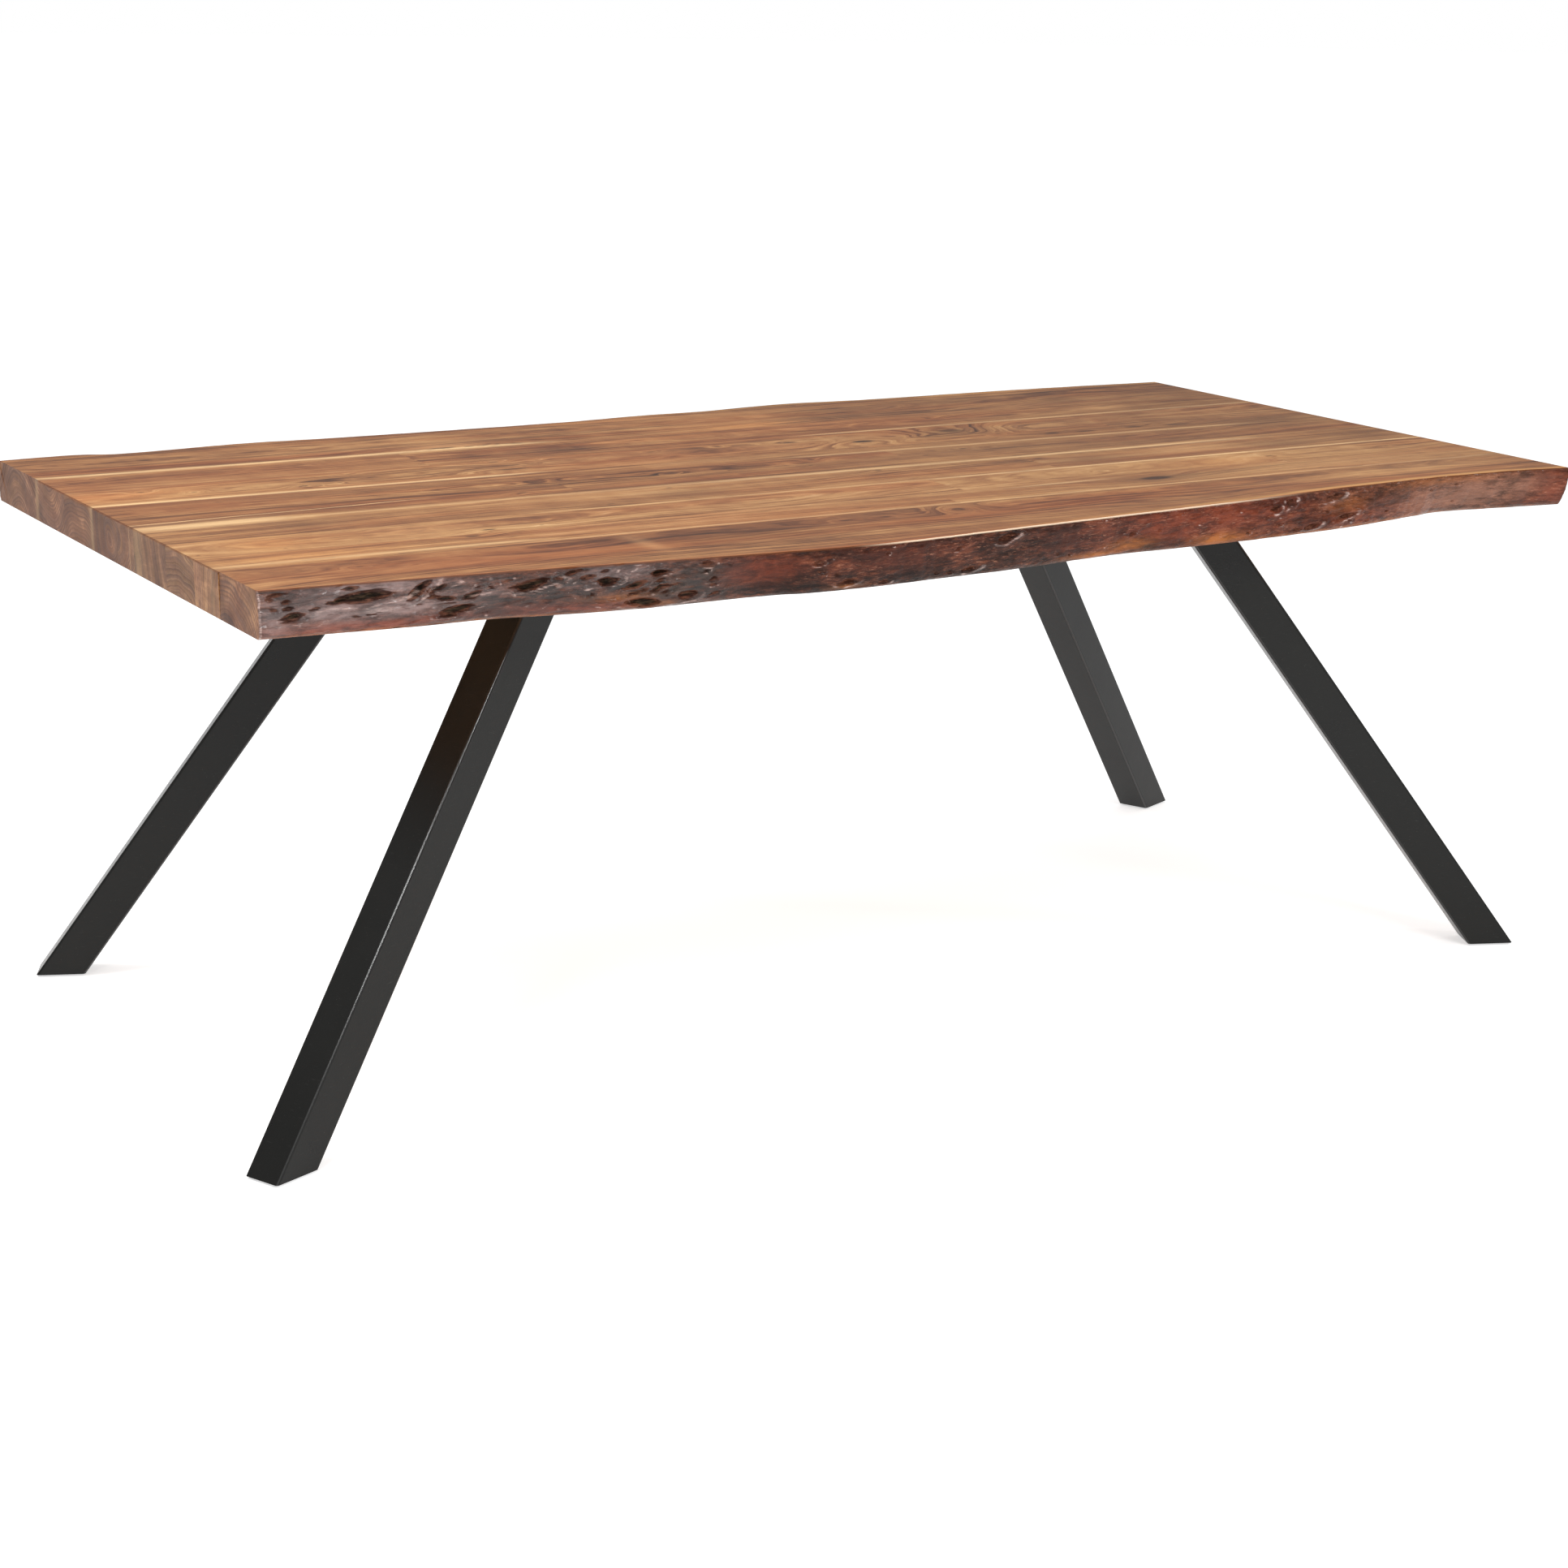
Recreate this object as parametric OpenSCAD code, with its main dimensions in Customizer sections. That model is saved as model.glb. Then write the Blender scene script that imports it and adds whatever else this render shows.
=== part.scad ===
// Live-edge dining table: an edge-glued hardwood top on four splayed square-tube legs.
// Frame: +X along the length, +Y to the rear, +Z up. The floor is z = 0, and the origin is
// on the floor under the middle of the top. The front live edge faces -Y.

/* [Top] */
// Length of the top along X
top_length = 2032; // [1800:1:2200]
// Width of the top along Y, over the widest bulges of both live edges
top_width = 1168; // [1160:1:1200]
// Height of the top surface above the floor
table_height = 760; // [720:1:790]
// Thickness of the top
top_thickness = 58; // [50:1:65]
// Chamfer along the upper arris of both cut ends
end_chamfer = 1.6; // [0.8:0.1:3]

/* [Legs] */
// Distance along X between the centres of the left and right feet
foot_span_x = 1988; // [1900:1:2040]
// Distance along Y between the centres of the front and rear feet
foot_span_y = 928; // [900:1:960]
// How far the leg frame sits behind the middle of the top
leg_frame_y = 31; // [20:1:40]
// Lean of each leg from the vertical
leg_tilt = 36.2; // [34:0.1:37]
// Plan angle between a leg's lean and the X axis
leg_heading = 23.3; // [20:0.1:26]
// Outer side of the square leg tube
tube_side = 58; // [50:1:60]
// Wall of the leg tube
tube_wall = 3; // [2:0.5:4]
// Outer corner radius of the leg tube
tube_radius = 4; // [3.5:0.5:6]

/* [Plates and bolts] */
// Length of a top plate, along the leg's lean
plate_length = 210; // [200:1:230]
// Width of a top plate
plate_width = 110; // [100:1:120]
// Thickness of a top plate
plate_thickness = 6; // [5:1:8]
// Bolt spacing along a top plate
bolt_pitch_x = 170; // [160:1:180]
// Bolt spacing across a top plate
bolt_pitch_y = 76; // [70:1:80]
// Thickness of the plate that closes the foot of a leg
foot_plate_thickness = 4; // [3:1:6]

/* [Levelling glides] */
// Gap between the floor and the foot of a leg, glides screwed fully in
foot_gap = 3.4; // [3.4:0.1:6]
// Height of a glide pad
pad_height = 3; // [2.5:0.1:3]
// Diameter of a glide pad
pad_diameter = 22; // [18:1:30]
// Length of the thread above the pad
stem_length = 25; // [22:1:26]

/* [Hidden] */
half_length = top_length / 2;
half_width = top_width / 2;
underside = table_height - top_thickness;
plate_underside = underside - plate_thickness;
bore_side = tube_side - 2 * tube_wall;
bore_radius = tube_radius - tube_wall;

// Glue lines between the staves, from the front to the rear, as distances from the middle.
glue_front = -373;
glue_1 = -284;
glue_2 = -177;
glue_3 = -49;
glue_4 = 21;
glue_5 = 123;
glue_6 = 250;
glue_rear = 373;

// Butt joints between the lengths of one row, as distances from the middle.
butt_1 = 40;
butt_2_left = 100;
butt_2_right = 671;
butt_3 = 330;
butt_4_left = -384;
butt_4_right = -116;
butt_5 = 180;
butt_6 = 640;
butt_7 = -480;

// Live edges. Each pair is [place along the half length, inset from the widest point].
front_inset = [
    [-1, 76], [-0.8, 59], [-0.6, 38], [-0.45, 19], [-0.22, 0], [0, 17], [0.2, 33], [0.4, 49],
    [0.5, 61], [0.6, 72], [0.75, 80], [0.8, 80], [0.9, 76], [1, 61]
];
// How far the front edge's foot lies behind its upper arris.
front_undercut = [
    [-1, -4], [-0.8, -4], [-0.72, 3], [-0.62, -4], [-0.52, -3], [-0.45, 6], [-0.36, 14],
    [-0.3, 9], [-0.12, 12], [0, 8], [0.18, 17], [0.28, 9], [0.42, 0], [0.58, -6], [0.66, 3],
    [0.75, 18], [0.8, 26], [0.9, 16], [1, 14]
];
rear_inset = [
    [-1, 14], [-0.89, 10], [-0.84, 26], [-0.79, 27], [-0.64, 13], [-0.49, 22], [-0.13, 28],
    [0.02, 16], [0.12, 17], [0.286, 0], [0.42, 14], [0.72, 23], [1, 45]
];
rear_undercut = [[-1, -6], [-0.92, -2], [-0.7, 4], [-0.35, 16], [0, 6], [0.3, 14], [0.6, 2], [1, 10]];
// Bark-side section: [share of the thickness below the top, inset from the bulge].
bark_section = [[0, 4.5], [0.03, 3], [0.12, 1.2], [0.3, 0], [0.55, 0.4], [0.8, 2.2], [0.93, 4.6], [1, 8]];
edge_stations = 64;

// M8 hardware
bolt_radius = 4;
clearance_radius = 4.5;
thread_fit = 0.05;
head_radius = 7;
head_flat = 4.5;
head_height = 4.4;
socket_radius = 2.9;
socket_depth = 2.6;
washer_radius = 8;
washer_thickness = 1.6;
bolt_reach = 15;
insert_radius = 6;
insert_length = 18;
insert_hole_depth = 20;
plate_corner = 10;
bush_radius = 8;
bush_length = 15;
spigot_radius = 3;
spigot_end = 1.1;
pad_floor = 0.8;
pad_rim = 0.8;
shoulder_gap = 0.3;
cut_margin = 60;
round_fn = 48;
plate_shift = -tan(leg_tilt) * (plate_underside - foot_gap);

// Corners of the leg frame
front_left = [-1, -1];
front_right = [1, -1];
rear_left = [-1, 1];
rear_right = [1, 1];

wood = "#a66a3a";
bark = "#5a2a1c";
coat = "#1f1f1d";
zinc = "#b4b6b8";
nylon = "#161616";

// Smooth curve through points [place, value], with the slope at each point taken from its neighbours.
function span_at(points, place, i = 0) =
    i >= len(points) - 2 || place < points[i + 1][0] ? i : span_at(points, place, i + 1);
function slope_at(points, i) =
    let (before = points[max(i - 1, 0)], after = points[min(i + 1, len(points) - 1)])
    (after[1] - before[1]) / (after[0] - before[0]);
function curve_at(points, place) =
    let (
        i = span_at(points, place),
        run = points[i + 1][0] - points[i][0],
        t = (place - points[i][0]) / run,
        start = points[i][1],
        end = points[i + 1][1]
    )
    start + (end - start) * t * t * (3 - 2 * t)
    + run * t * (1 - t) * (slope_at(points, i) * (1 - t) - slope_at(points, i + 1) * t);

// One section of a live-edge board at a place along it. side is -1 for the front, 1 for the rear.
function board_section(place, side, glue, inset, undercut) = [
    [place * half_length, glue, underside],
    [place * half_length, glue, table_height],
    for (p = bark_section)
        [
            place * half_length,
            side * (half_width - curve_at(inset, place) - p[1] - p[0] * curve_at(undercut, place)),
            table_height - p[0] * top_thickness
        ]
];

// A board swept along X between a straight glue line and a wavy live edge.
module live_edge_board(side, glue, inset, undercut) {
    ring = len(bark_section) + 2;
    points = [
        for (i = [0:edge_stations])
            each board_section(2 * i / edge_stations - 1, side, glue, inset, undercut)
    ];
    first_cap = [for (j = [0:ring - 1]) j];
    last_cap = [for (j = [ring - 1:-1:0]) edge_stations * ring + j];
    sides = [
        for (i = [0:edge_stations - 1], j = [0:ring - 1])
            let (a = i * ring + j, b = i * ring + (j + 1) % ring)
            each [[a, a + ring, b], [b, a + ring, b + ring]]
    ];
    faces = concat([first_cap, last_cap], sides);
    turned = [for (f = faces) [for (k = [len(f) - 1:-1:0]) f[k]]];
    difference() {
        polyhedron(points = points, faces = side < 0 ? faces : turned);
        end_chamfers();
    }
}

// Wedges that take the arris off both cut ends of the top.
module end_chamfers() {
    for (side = [-1, 1])
        translate([side * half_length, 0, table_height])
            rotate([0, 45, 0])
                cube([end_chamfer * sqrt(2), top_width * 1.1, end_chamfer * sqrt(2)], center = true);
}

// One stave between two glue lines, with the pockets for any threaded insert under it.
module stave(x_start, x_end, y_start, y_end) {
    color(wood)
        difference() {
            translate([x_start, y_start, underside])
                cube([x_end - x_start, y_end - y_start, top_thickness]);
            end_chamfers();
            for (corner = [front_left, front_right, rear_left, rear_right])
                at_leg(corner)
                    at_bolts()
                        translate([0, 0, underside - 1])
                            cylinder(r = insert_radius, h = insert_hole_depth + 1, $fn = round_fn);
        }
}

// Local frame of a leg: the origin is on the floor under the foot, +x is the way the foot leans out.
module at_leg(corner) {
    translate([corner[0] * foot_span_x / 2, leg_frame_y + corner[1] * foot_span_y / 2, 0])
        rotate([0, 0, atan2(corner[1] * sin(leg_heading), corner[0] * cos(leg_heading))])
            children();
}

// The four bolt places of a top plate, in the leg's frame.
module at_bolts() {
    for (x = [-1, 1], y = [-1, 1])
        translate([plate_shift + x * bolt_pitch_x / 2, y * bolt_pitch_y / 2, 0])
            children();
}

// A leaning bar of rounded square section, cut level at two heights.
module leaning_bar(side, radius, low, high) {
    half = side / 2;
    intersection() {
        translate([0, 0, foot_gap])
            rotate([0, -leg_tilt, 0])
                translate([0, 0, -cut_margin])
                    linear_extrude(table_height / cos(leg_tilt))
                        union() {
                            square([side - 2 * radius, side], center = true);
                            square([side, side - 2 * radius], center = true);
                            for (x = [-1, 1], y = [-1, 1])
                                translate([x * (half - radius), y * (half - radius)])
                                    circle(r = radius, $fn = round_fn);
                        }
        translate([plate_shift - 2 * cut_margin, -side, low])
            cube([-plate_shift + 4 * cut_margin, 2 * side, high - low]);
    }
}

module leg(corner) {
    color(coat)
        at_leg(corner)
            difference() {
                leaning_bar(tube_side, tube_radius, foot_gap, plate_underside);
                leaning_bar(bore_side, bore_radius, foot_gap - 1, plate_underside + 1);
            }
}

module top_plate(corner) {
    color(coat)
        at_leg(corner)
            difference() {
                translate([plate_shift, 0, plate_underside])
                    linear_extrude(plate_thickness)
                        union() {
                            square([plate_length - 2 * plate_corner, plate_width], center = true);
                            square([plate_length, plate_width - 2 * plate_corner], center = true);
                            for (x = [-1, 1], y = [-1, 1])
                                translate([
                                    x * (plate_length / 2 - plate_corner),
                                    y * (plate_width / 2 - plate_corner)
                                ])
                                    circle(r = plate_corner, $fn = round_fn);
                        }
                at_bolts()
                    translate([0, 0, plate_underside - 1])
                        cylinder(r = clearance_radius, h = plate_thickness + 2, $fn = round_fn);
            }
}

module foot_plate(corner) {
    color(coat)
        at_leg(corner)
            difference() {
                leaning_bar(bore_side, bore_radius, foot_gap, foot_gap + foot_plate_thickness);
                translate([0, 0, foot_gap - 1])
                    cylinder(r = clearance_radius, h = foot_plate_thickness + 2, $fn = round_fn);
            }
}

// Button-head screws that hold a top plate to the underside.
module bolts(corner) {
    head_top = plate_underside - washer_thickness;
    shank_length = washer_thickness + plate_thickness + bolt_reach;
    color(zinc)
        at_leg(corner)
            at_bolts()
                difference() {
                    union() {
                        translate([0, 0, head_top - 0.5])
                            cylinder(r = bolt_radius, h = shank_length + 0.5, $fn = round_fn);
                        translate([0, 0, head_top - head_height / 2])
                            cylinder(r = head_radius, h = head_height / 2, $fn = round_fn);
                        translate([0, 0, head_top - head_height])
                            cylinder(r1 = head_flat, r2 = head_radius, h = head_height / 2, $fn = round_fn);
                    }
                    translate([0, 0, head_top - head_height - 1])
                        cylinder(r = socket_radius, h = socket_depth + 1, $fn = 6);
                }
}

module washers(corner) {
    color(zinc)
        at_leg(corner)
            at_bolts()
                translate([0, 0, plate_underside - washer_thickness])
                    difference() {
                        cylinder(r = washer_radius, h = washer_thickness, $fn = round_fn);
                        translate([0, 0, -1])
                            cylinder(r = bolt_radius + 0.2, h = washer_thickness + 2, $fn = round_fn);
                    }
}

// Threaded inserts pressed into the underside of the staves.
module inserts(corner) {
    color("goldenrod")
        at_leg(corner)
            at_bolts()
                translate([0, 0, underside])
                    difference() {
                        cylinder(r = insert_radius, h = insert_length, $fn = round_fn);
                        translate([0, 0, -1])
                            cylinder(r = bolt_radius + thread_fit, h = insert_length + 2, $fn = round_fn);
                    }
}

// Threaded bush that stands on the foot plate inside the leg.
module bush(corner) {
    color(zinc)
        at_leg(corner)
            translate([0, 0, foot_gap + foot_plate_thickness])
                difference() {
                    cylinder(r = bush_radius, h = bush_length, $fn = round_fn);
                    translate([0, 0, -1])
                        cylinder(r = bolt_radius + thread_fit, h = bush_length + 2, $fn = round_fn);
                }
}

module glide_stem(corner) {
    shoulder = pad_height + shoulder_gap;
    color(zinc)
        at_leg(corner)
            union() {
                translate([0, 0, spigot_end])
                    cylinder(r = spigot_radius, h = shoulder - spigot_end + 1, $fn = round_fn);
                translate([0, 0, shoulder])
                    cylinder(r = bolt_radius, h = stem_length - 1, $fn = round_fn);
                translate([0, 0, shoulder + stem_length - 1])
                    cylinder(r1 = bolt_radius, r2 = bolt_radius - 1, h = 1, $fn = round_fn);
            }
}

module glide_pad(corner) {
    radius = pad_diameter / 2;
    color(nylon)
        at_leg(corner)
            difference() {
                union() {
                    cylinder(r1 = radius - pad_rim, r2 = radius, h = pad_rim, $fn = round_fn);
                    translate([0, 0, pad_rim])
                        cylinder(r = radius, h = pad_height - pad_rim, $fn = round_fn);
                }
                translate([0, 0, pad_floor])
                    cylinder(r = spigot_radius + thread_fit, h = pad_height, $fn = round_fn);
            }
}

module edge_board_front() {
    color(bark) live_edge_board(-1, glue_front, front_inset, front_undercut);
}
module edge_board_rear() {
    color(bark) live_edge_board(1, glue_rear, rear_inset, rear_undercut);
}

edge_board_front();
edge_board_rear();
stave(-half_length, butt_1, glue_front, glue_1);  // stave_1_left
stave(butt_1, half_length, glue_front, glue_1);  // stave_1_right
stave(-half_length, butt_2_left, glue_1, glue_2);  // stave_2_left
stave(butt_2_left, butt_2_right, glue_1, glue_2);  // stave_2_middle
stave(butt_2_right, half_length, glue_1, glue_2);  // stave_2_right
stave(-half_length, butt_3, glue_2, glue_3);  // stave_3_left
stave(butt_3, half_length, glue_2, glue_3);  // stave_3_right
stave(-half_length, butt_4_left, glue_3, glue_4);  // stave_4_left
stave(butt_4_left, butt_4_right, glue_3, glue_4);  // stave_4_middle
stave(butt_4_right, half_length, glue_3, glue_4);  // stave_4_right
stave(-half_length, butt_5, glue_4, glue_5);  // stave_5_left
stave(butt_5, half_length, glue_4, glue_5);  // stave_5_right
stave(-half_length, butt_6, glue_5, glue_6);  // stave_6_left
stave(butt_6, half_length, glue_5, glue_6);  // stave_6_right
stave(-half_length, butt_7, glue_6, glue_rear);  // stave_7_left
stave(butt_7, half_length, glue_6, glue_rear);  // stave_7_right
leg(front_left);  // leg_front_left
leg(front_right);  // leg_front_right
leg(rear_left);  // leg_rear_left
leg(rear_right);  // leg_rear_right
top_plate(front_left);  // top_plate_front_left
top_plate(front_right);  // top_plate_front_right
top_plate(rear_left);  // top_plate_rear_left
top_plate(rear_right);  // top_plate_rear_right
foot_plate(front_left);  // foot_plate_front_left
foot_plate(front_right);  // foot_plate_front_right
foot_plate(rear_left);  // foot_plate_rear_left
foot_plate(rear_right);  // foot_plate_rear_right
bolts(front_left);  // bolts_front_left
bolts(front_right);  // bolts_front_right
bolts(rear_left);  // bolts_rear_left
bolts(rear_right);  // bolts_rear_right
washers(front_left);  // washers_front_left
washers(front_right);  // washers_front_right
washers(rear_left);  // washers_rear_left
washers(rear_right);  // washers_rear_right
inserts(front_left);  // inserts_front_left
inserts(front_right);  // inserts_front_right
inserts(rear_left);  // inserts_rear_left
inserts(rear_right);  // inserts_rear_right
bush(front_left);  // bush_front_left
bush(front_right);  // bush_front_right
bush(rear_left);  // bush_rear_left
bush(rear_right);  // bush_rear_right
glide_stem(front_left);  // glide_stem_front_left
glide_stem(front_right);  // glide_stem_front_right
glide_stem(rear_left);  // glide_stem_rear_left
glide_stem(rear_right);  // glide_stem_rear_right
glide_pad(front_left);  // glide_pad_front_left
glide_pad(front_right);  // glide_pad_front_right
glide_pad(rear_left);  // glide_pad_rear_left
glide_pad(rear_right);  // glide_pad_rear_right
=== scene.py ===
"""Looks of the live-edge dining table: solid staves between two natural-edge boards, on four steel legs.

Plan coordinates (x along the table, y to the rear) and heights of surface features are in millimetres.
Everything that is handed to Blender is in metres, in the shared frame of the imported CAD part.
"""

import math

import bmesh
import bpy
import numpy as np
from mathutils import Matrix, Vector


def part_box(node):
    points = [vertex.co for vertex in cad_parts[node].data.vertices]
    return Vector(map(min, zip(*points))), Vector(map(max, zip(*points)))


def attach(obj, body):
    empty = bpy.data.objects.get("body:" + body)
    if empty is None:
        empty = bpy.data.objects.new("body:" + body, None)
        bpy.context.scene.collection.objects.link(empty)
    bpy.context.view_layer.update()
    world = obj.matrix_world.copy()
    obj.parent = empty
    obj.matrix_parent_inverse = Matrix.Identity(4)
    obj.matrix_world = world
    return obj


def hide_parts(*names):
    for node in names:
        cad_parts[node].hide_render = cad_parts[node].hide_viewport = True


MM = 0.001
SEED = 20

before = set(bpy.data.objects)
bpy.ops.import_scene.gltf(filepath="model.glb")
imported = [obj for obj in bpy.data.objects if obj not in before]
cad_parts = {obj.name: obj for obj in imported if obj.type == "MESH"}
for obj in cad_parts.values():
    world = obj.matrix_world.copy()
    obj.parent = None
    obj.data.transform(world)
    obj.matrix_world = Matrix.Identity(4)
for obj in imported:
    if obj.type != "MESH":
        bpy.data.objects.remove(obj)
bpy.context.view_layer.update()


# ---- camera, floor and light

CAMERA_PLACE = (-2.21075, -3.90678, 1.48104)
CAMERA_RIGHT = (0.85412, -0.51990, 0.01329)
CAMERA_UP = (0.14143, 0.25679, 0.95606)
CAMERA_BACK = (-0.50047, -0.81472, 0.29286)
CAMERA_LENS = 70.71
CAMERA_SHIFT = (-0.0789, 0.0709)
FLOOR_SPAN = 400.0
WALL_RADIUS = 50.0
WALL_HEIGHT = 80.0
WALL_SIDES = 64
# The sky's colours at the horizon and overhead.
SKY = ((0.0, (0.08, 0.08, 0.085, 1)), (1.0, (1.0, 1.0, 1.0, 1)))
SKY_STRENGTH = 0.9


def add_object(name, data):
    made = bpy.data.objects.new(name, data)
    bpy.context.scene.collection.objects.link(made)
    return made


def add_camera():
    data = bpy.data.cameras.new("camera")
    data.sensor_width = 36
    data.lens = CAMERA_LENS
    data.shift_x, data.shift_y = CAMERA_SHIFT
    data.clip_end = 2 * FLOOR_SPAN
    camera = add_object("camera", data)
    columns = Matrix((CAMERA_RIGHT, CAMERA_UP, CAMERA_BACK)).transposed()
    camera.matrix_world = Matrix.Translation(CAMERA_PLACE) @ columns.to_4x4()
    bpy.context.scene.camera = camera


def add_softbox(name, place, target, size, power, lights=("diffuse", "glossy")):
    """A rectangular area light turned to face target, which may reach only one sort of reflection."""
    data = bpy.data.lights.new(name, "AREA")
    data.shape = "RECTANGLE"
    data.size, data.size_y = size
    data.energy = power
    light = add_object(name, data)
    light.visible_camera = False
    light.visible_diffuse = "diffuse" in lights
    light.visible_glossy = "glossy" in lights
    back = np.subtract(place, target)
    side = np.cross((0, 0, 1), back)
    side = side / np.linalg.norm(side)
    back = back / np.linalg.norm(back)
    turn = Matrix((side, np.cross(back, side), back)).transposed()
    light.matrix_world = Matrix.Translation(place) @ turn.to_4x4()


# ---- small node-tree language


def srgb(red, green, blue):
    """An 8-bit display colour as linear RGBA."""
    linear = []
    for part in (red, green, blue):
        c = part / 255
        linear.append(c / 12.92 if c <= 0.04045 else ((c + 0.055) / 1.055) ** 2.4)
    return (*linear, 1.0)


class Nodes:
    """A material or world whose node tree is written as short calls, most of which return a socket."""

    def __init__(self, name, kind="materials"):
        self.owner = getattr(bpy.data, kind).new(name)
        self.owner.use_nodes = True
        self.tree = self.owner.node_tree
        self.tree.nodes.clear()

    def put(self, socket, value):
        if isinstance(value, bpy.types.NodeSocket):
            self.tree.links.new(value, socket)
        elif value is not None:
            socket.default_value = value

    def make(self, kind, *values, **named):
        """A new node, with numbers or sockets put into its inputs in order or by name."""
        node = self.tree.nodes.new("ShaderNode" + kind)
        for socket, value in zip(node.inputs, values):
            self.put(socket, value)
        for name, value in named.items():
            self.put(node.inputs[name.replace("_", " ")], value)
        return node

    def math(self, operation, *values, clamp=False):
        node = self.make("Math", *values)
        node.operation = operation
        node.use_clamp = clamp
        return node.outputs[0]

    def add(self, a, b):
        return self.math("ADD", a, b)

    def times(self, a, b, clamp=False):
        return self.math("MULTIPLY", a, b, clamp=clamp)

    def line(self, value, slope, base):
        """slope times value, added to base."""
        return self.math("MULTIPLY_ADD", value, slope, base)

    def less(self, value, amount):
        return self.math("SUBTRACT", value, amount)

    def sway(self, noise, amount, base):
        """base, moved up and down by a noise as it goes over and under its middle."""
        return self.line(self.less(noise, 0.5), amount, base)

    def vector(self, operation, a, b=None):
        node = self.make("VectorMath", a, b)
        node.operation = operation
        return node.outputs["Value" if operation in ("LENGTH", "DOT_PRODUCT") else "Vector"]

    def place(self, kind="Object"):
        return self.make("TexCoord").outputs[kind]

    def split(self, vector):
        return self.make("SeparateXYZ", vector).outputs

    def join(self, x, y, z):
        return self.make("CombineXYZ", x, y, z).outputs[0]

    def noise(self, vector, stretch=(1, 1, 1), detail=2.0, roughness=0.5, bend=0.0):
        """Noise from 0 to 1, about stretch features to the metre along each axis."""
        vector = self.vector("MULTIPLY", vector, stretch)
        shape = dict(Scale=1, Detail=detail, Roughness=roughness, Distortion=bend)
        return self.make("TexNoise", Vector=vector, **shape).outputs["Fac"]

    def cells(self, vector, stretch):
        """Distance to the nearest of scattered points, stretch points to the metre."""
        vector = self.vector("MULTIPLY", vector, stretch)
        return self.make("TexVoronoi", Vector=vector, Scale=1).outputs["Distance"]

    def window(self, value, low, high, to_low=0.0, to_high=1.0):
        """value from low to high, turned smoothly into to_low to to_high."""
        node = self.make("MapRange", value, low, high, to_low, to_high)
        node.interpolation_type = "SMOOTHSTEP"
        return node.outputs[0]

    def fall(self, value, low, high):
        """1 where value is under low, falling smoothly to 0 at high."""
        return self.window(value, low, high, 1.0, 0.0)

    def mix(self, factor, a, b, blend="MIX"):
        node = self.make("Mix", factor)
        node.data_type = "RGBA"
        node.blend_type = blend
        self.put(node.inputs[6], a)
        self.put(node.inputs[7], b)
        return node.outputs[2]

    def ramp(self, value, stops):
        node = self.make("ValToRGB", value)
        elements = node.color_ramp.elements
        while len(elements) < len(stops):
            elements.new(0.5)
        for element, (position, colour) in zip(elements, stops):
            element.position = position
            element.color = colour
        return node.outputs[0]

    def attribute(self, name):
        node = self.make("Attribute")
        node.attribute_name = name
        return node.outputs["Fac"]

    def bump(self, height, depth, below=None):
        """Relief of depth metres for a height of 1."""
        return self.make("Bump", Distance=depth, Height=height, Normal=below).outputs[0]

    def surface(self, **values):
        self.make("OutputMaterial", self.make("BsdfPrincipled", **values).outputs[0])
        return self.owner


# ---- features of the top, in plan

PALE = srgb(238, 198, 144)
GOLD = srgb(220, 166, 100)
RED = srgb(142, 76, 38)
DARK = srgb(84, 50, 28)
GREY = srgb(104, 76, 52)
KNOT = srgb(54, 32, 20)
TINTS = {"pale": PALE, "gold": GOLD, "red": RED, "dark": DARK, "grey": GREY}

# Knots: x, y, length, width, strength of the dark core.
KNOTS = [
    # rear board
    (-402, 392, 52, 16, 0.6), (-358, 388, 22, 9, 0.6), (-320, 402, 14, 8, 0.5), (290, 548, 14, 7, 0.6),
    # row 7
    (-945, 350, 12, 7, 0.6), (420, 333, 16, 9, 0.7), (-460, 310, 34, 8, 0.3), (-285, 312, 120, 10, 0.25),
    # row 6
    (-920, 214, 12, 8, 0.7), (-855, 183, 10, 7, 0.6), (-705, 163, 16, 10, 0.7), (-686, 160, 8, 6, 0.6),
    (-650, 168, 10, 6, 0.5), (-613, 230, 10, 6, 0.5), (-386, 238, 20, 12, 0.6), (-362, 182, 8, 5, 0.6),
    (-340, 202, 8, 5, 0.6), (-322, 226, 8, 5, 0.6), (-385, 168, 60, 15, 0.7), (-139, 219, 14, 8, 0.6),
    (-123, 168, 12, 8, 0.6), (-26, 219, 12, 8, 0.6), (93, 209, 30, 10, 0.8), (200, 168, 45, 28, 0.9),
    (320, 173, 20, 12, 0.8), (380, 202, 50, 40, 0.6), (432, 142, 14, 8, 0.6),
    # row 5
    (512, 110, 34, 20, 0.7), (572, 104, 44, 18, 0.6), (668, 108, 40, 20, 0.6), (748, 100, 60, 20, 0.6),
    (-405, 52, 22, 10, 0.8), (-200, 34, 16, 8, 0.6), (-80, 36, 50, 11, 0.8), (40, 48, 14, 9, 0.7),
    (300, 38, 16, 9, 0.7),
    # row 4
    (-460, -25, 20, 9, 0.7), (15, 4, 10, 6, 0.6), (215, 8, 14, 7, 0.6),
    # row 3
    (80, -78, 16, 9, 0.7), (350, -92, 18, 10, 0.7), (-260, -78, 14, 8, 0.6), (-390, -160, 14, 8, 0.6),
    # row 2
    (-1002, -262, 7, 4, 0.6), (-890, -264, 7, 4, 0.6), (-790, -262, 7, 4, 0.6), (-615, -262, 25, 10, 0.8),
    (-540, -262, 8, 5, 0.6), (368, -230, 12, 7, 0.5), (680, -228, 14, 9, 0.6), (905, -230, 10, 6, 0.5),
    # row 1
    (-652, -296, 24, 12, 0.8), (405, -318, 64, 34, 0.9),
    # front board
    (-855, -420, 12, 7, 0.6), (-170, -414, 16, 8, 0.7), (-140, -416, 12, 7, 0.5), (-108, -414, 14, 8, 0.7),
    (10, -408, 20, 22, 0.6),
]

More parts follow.
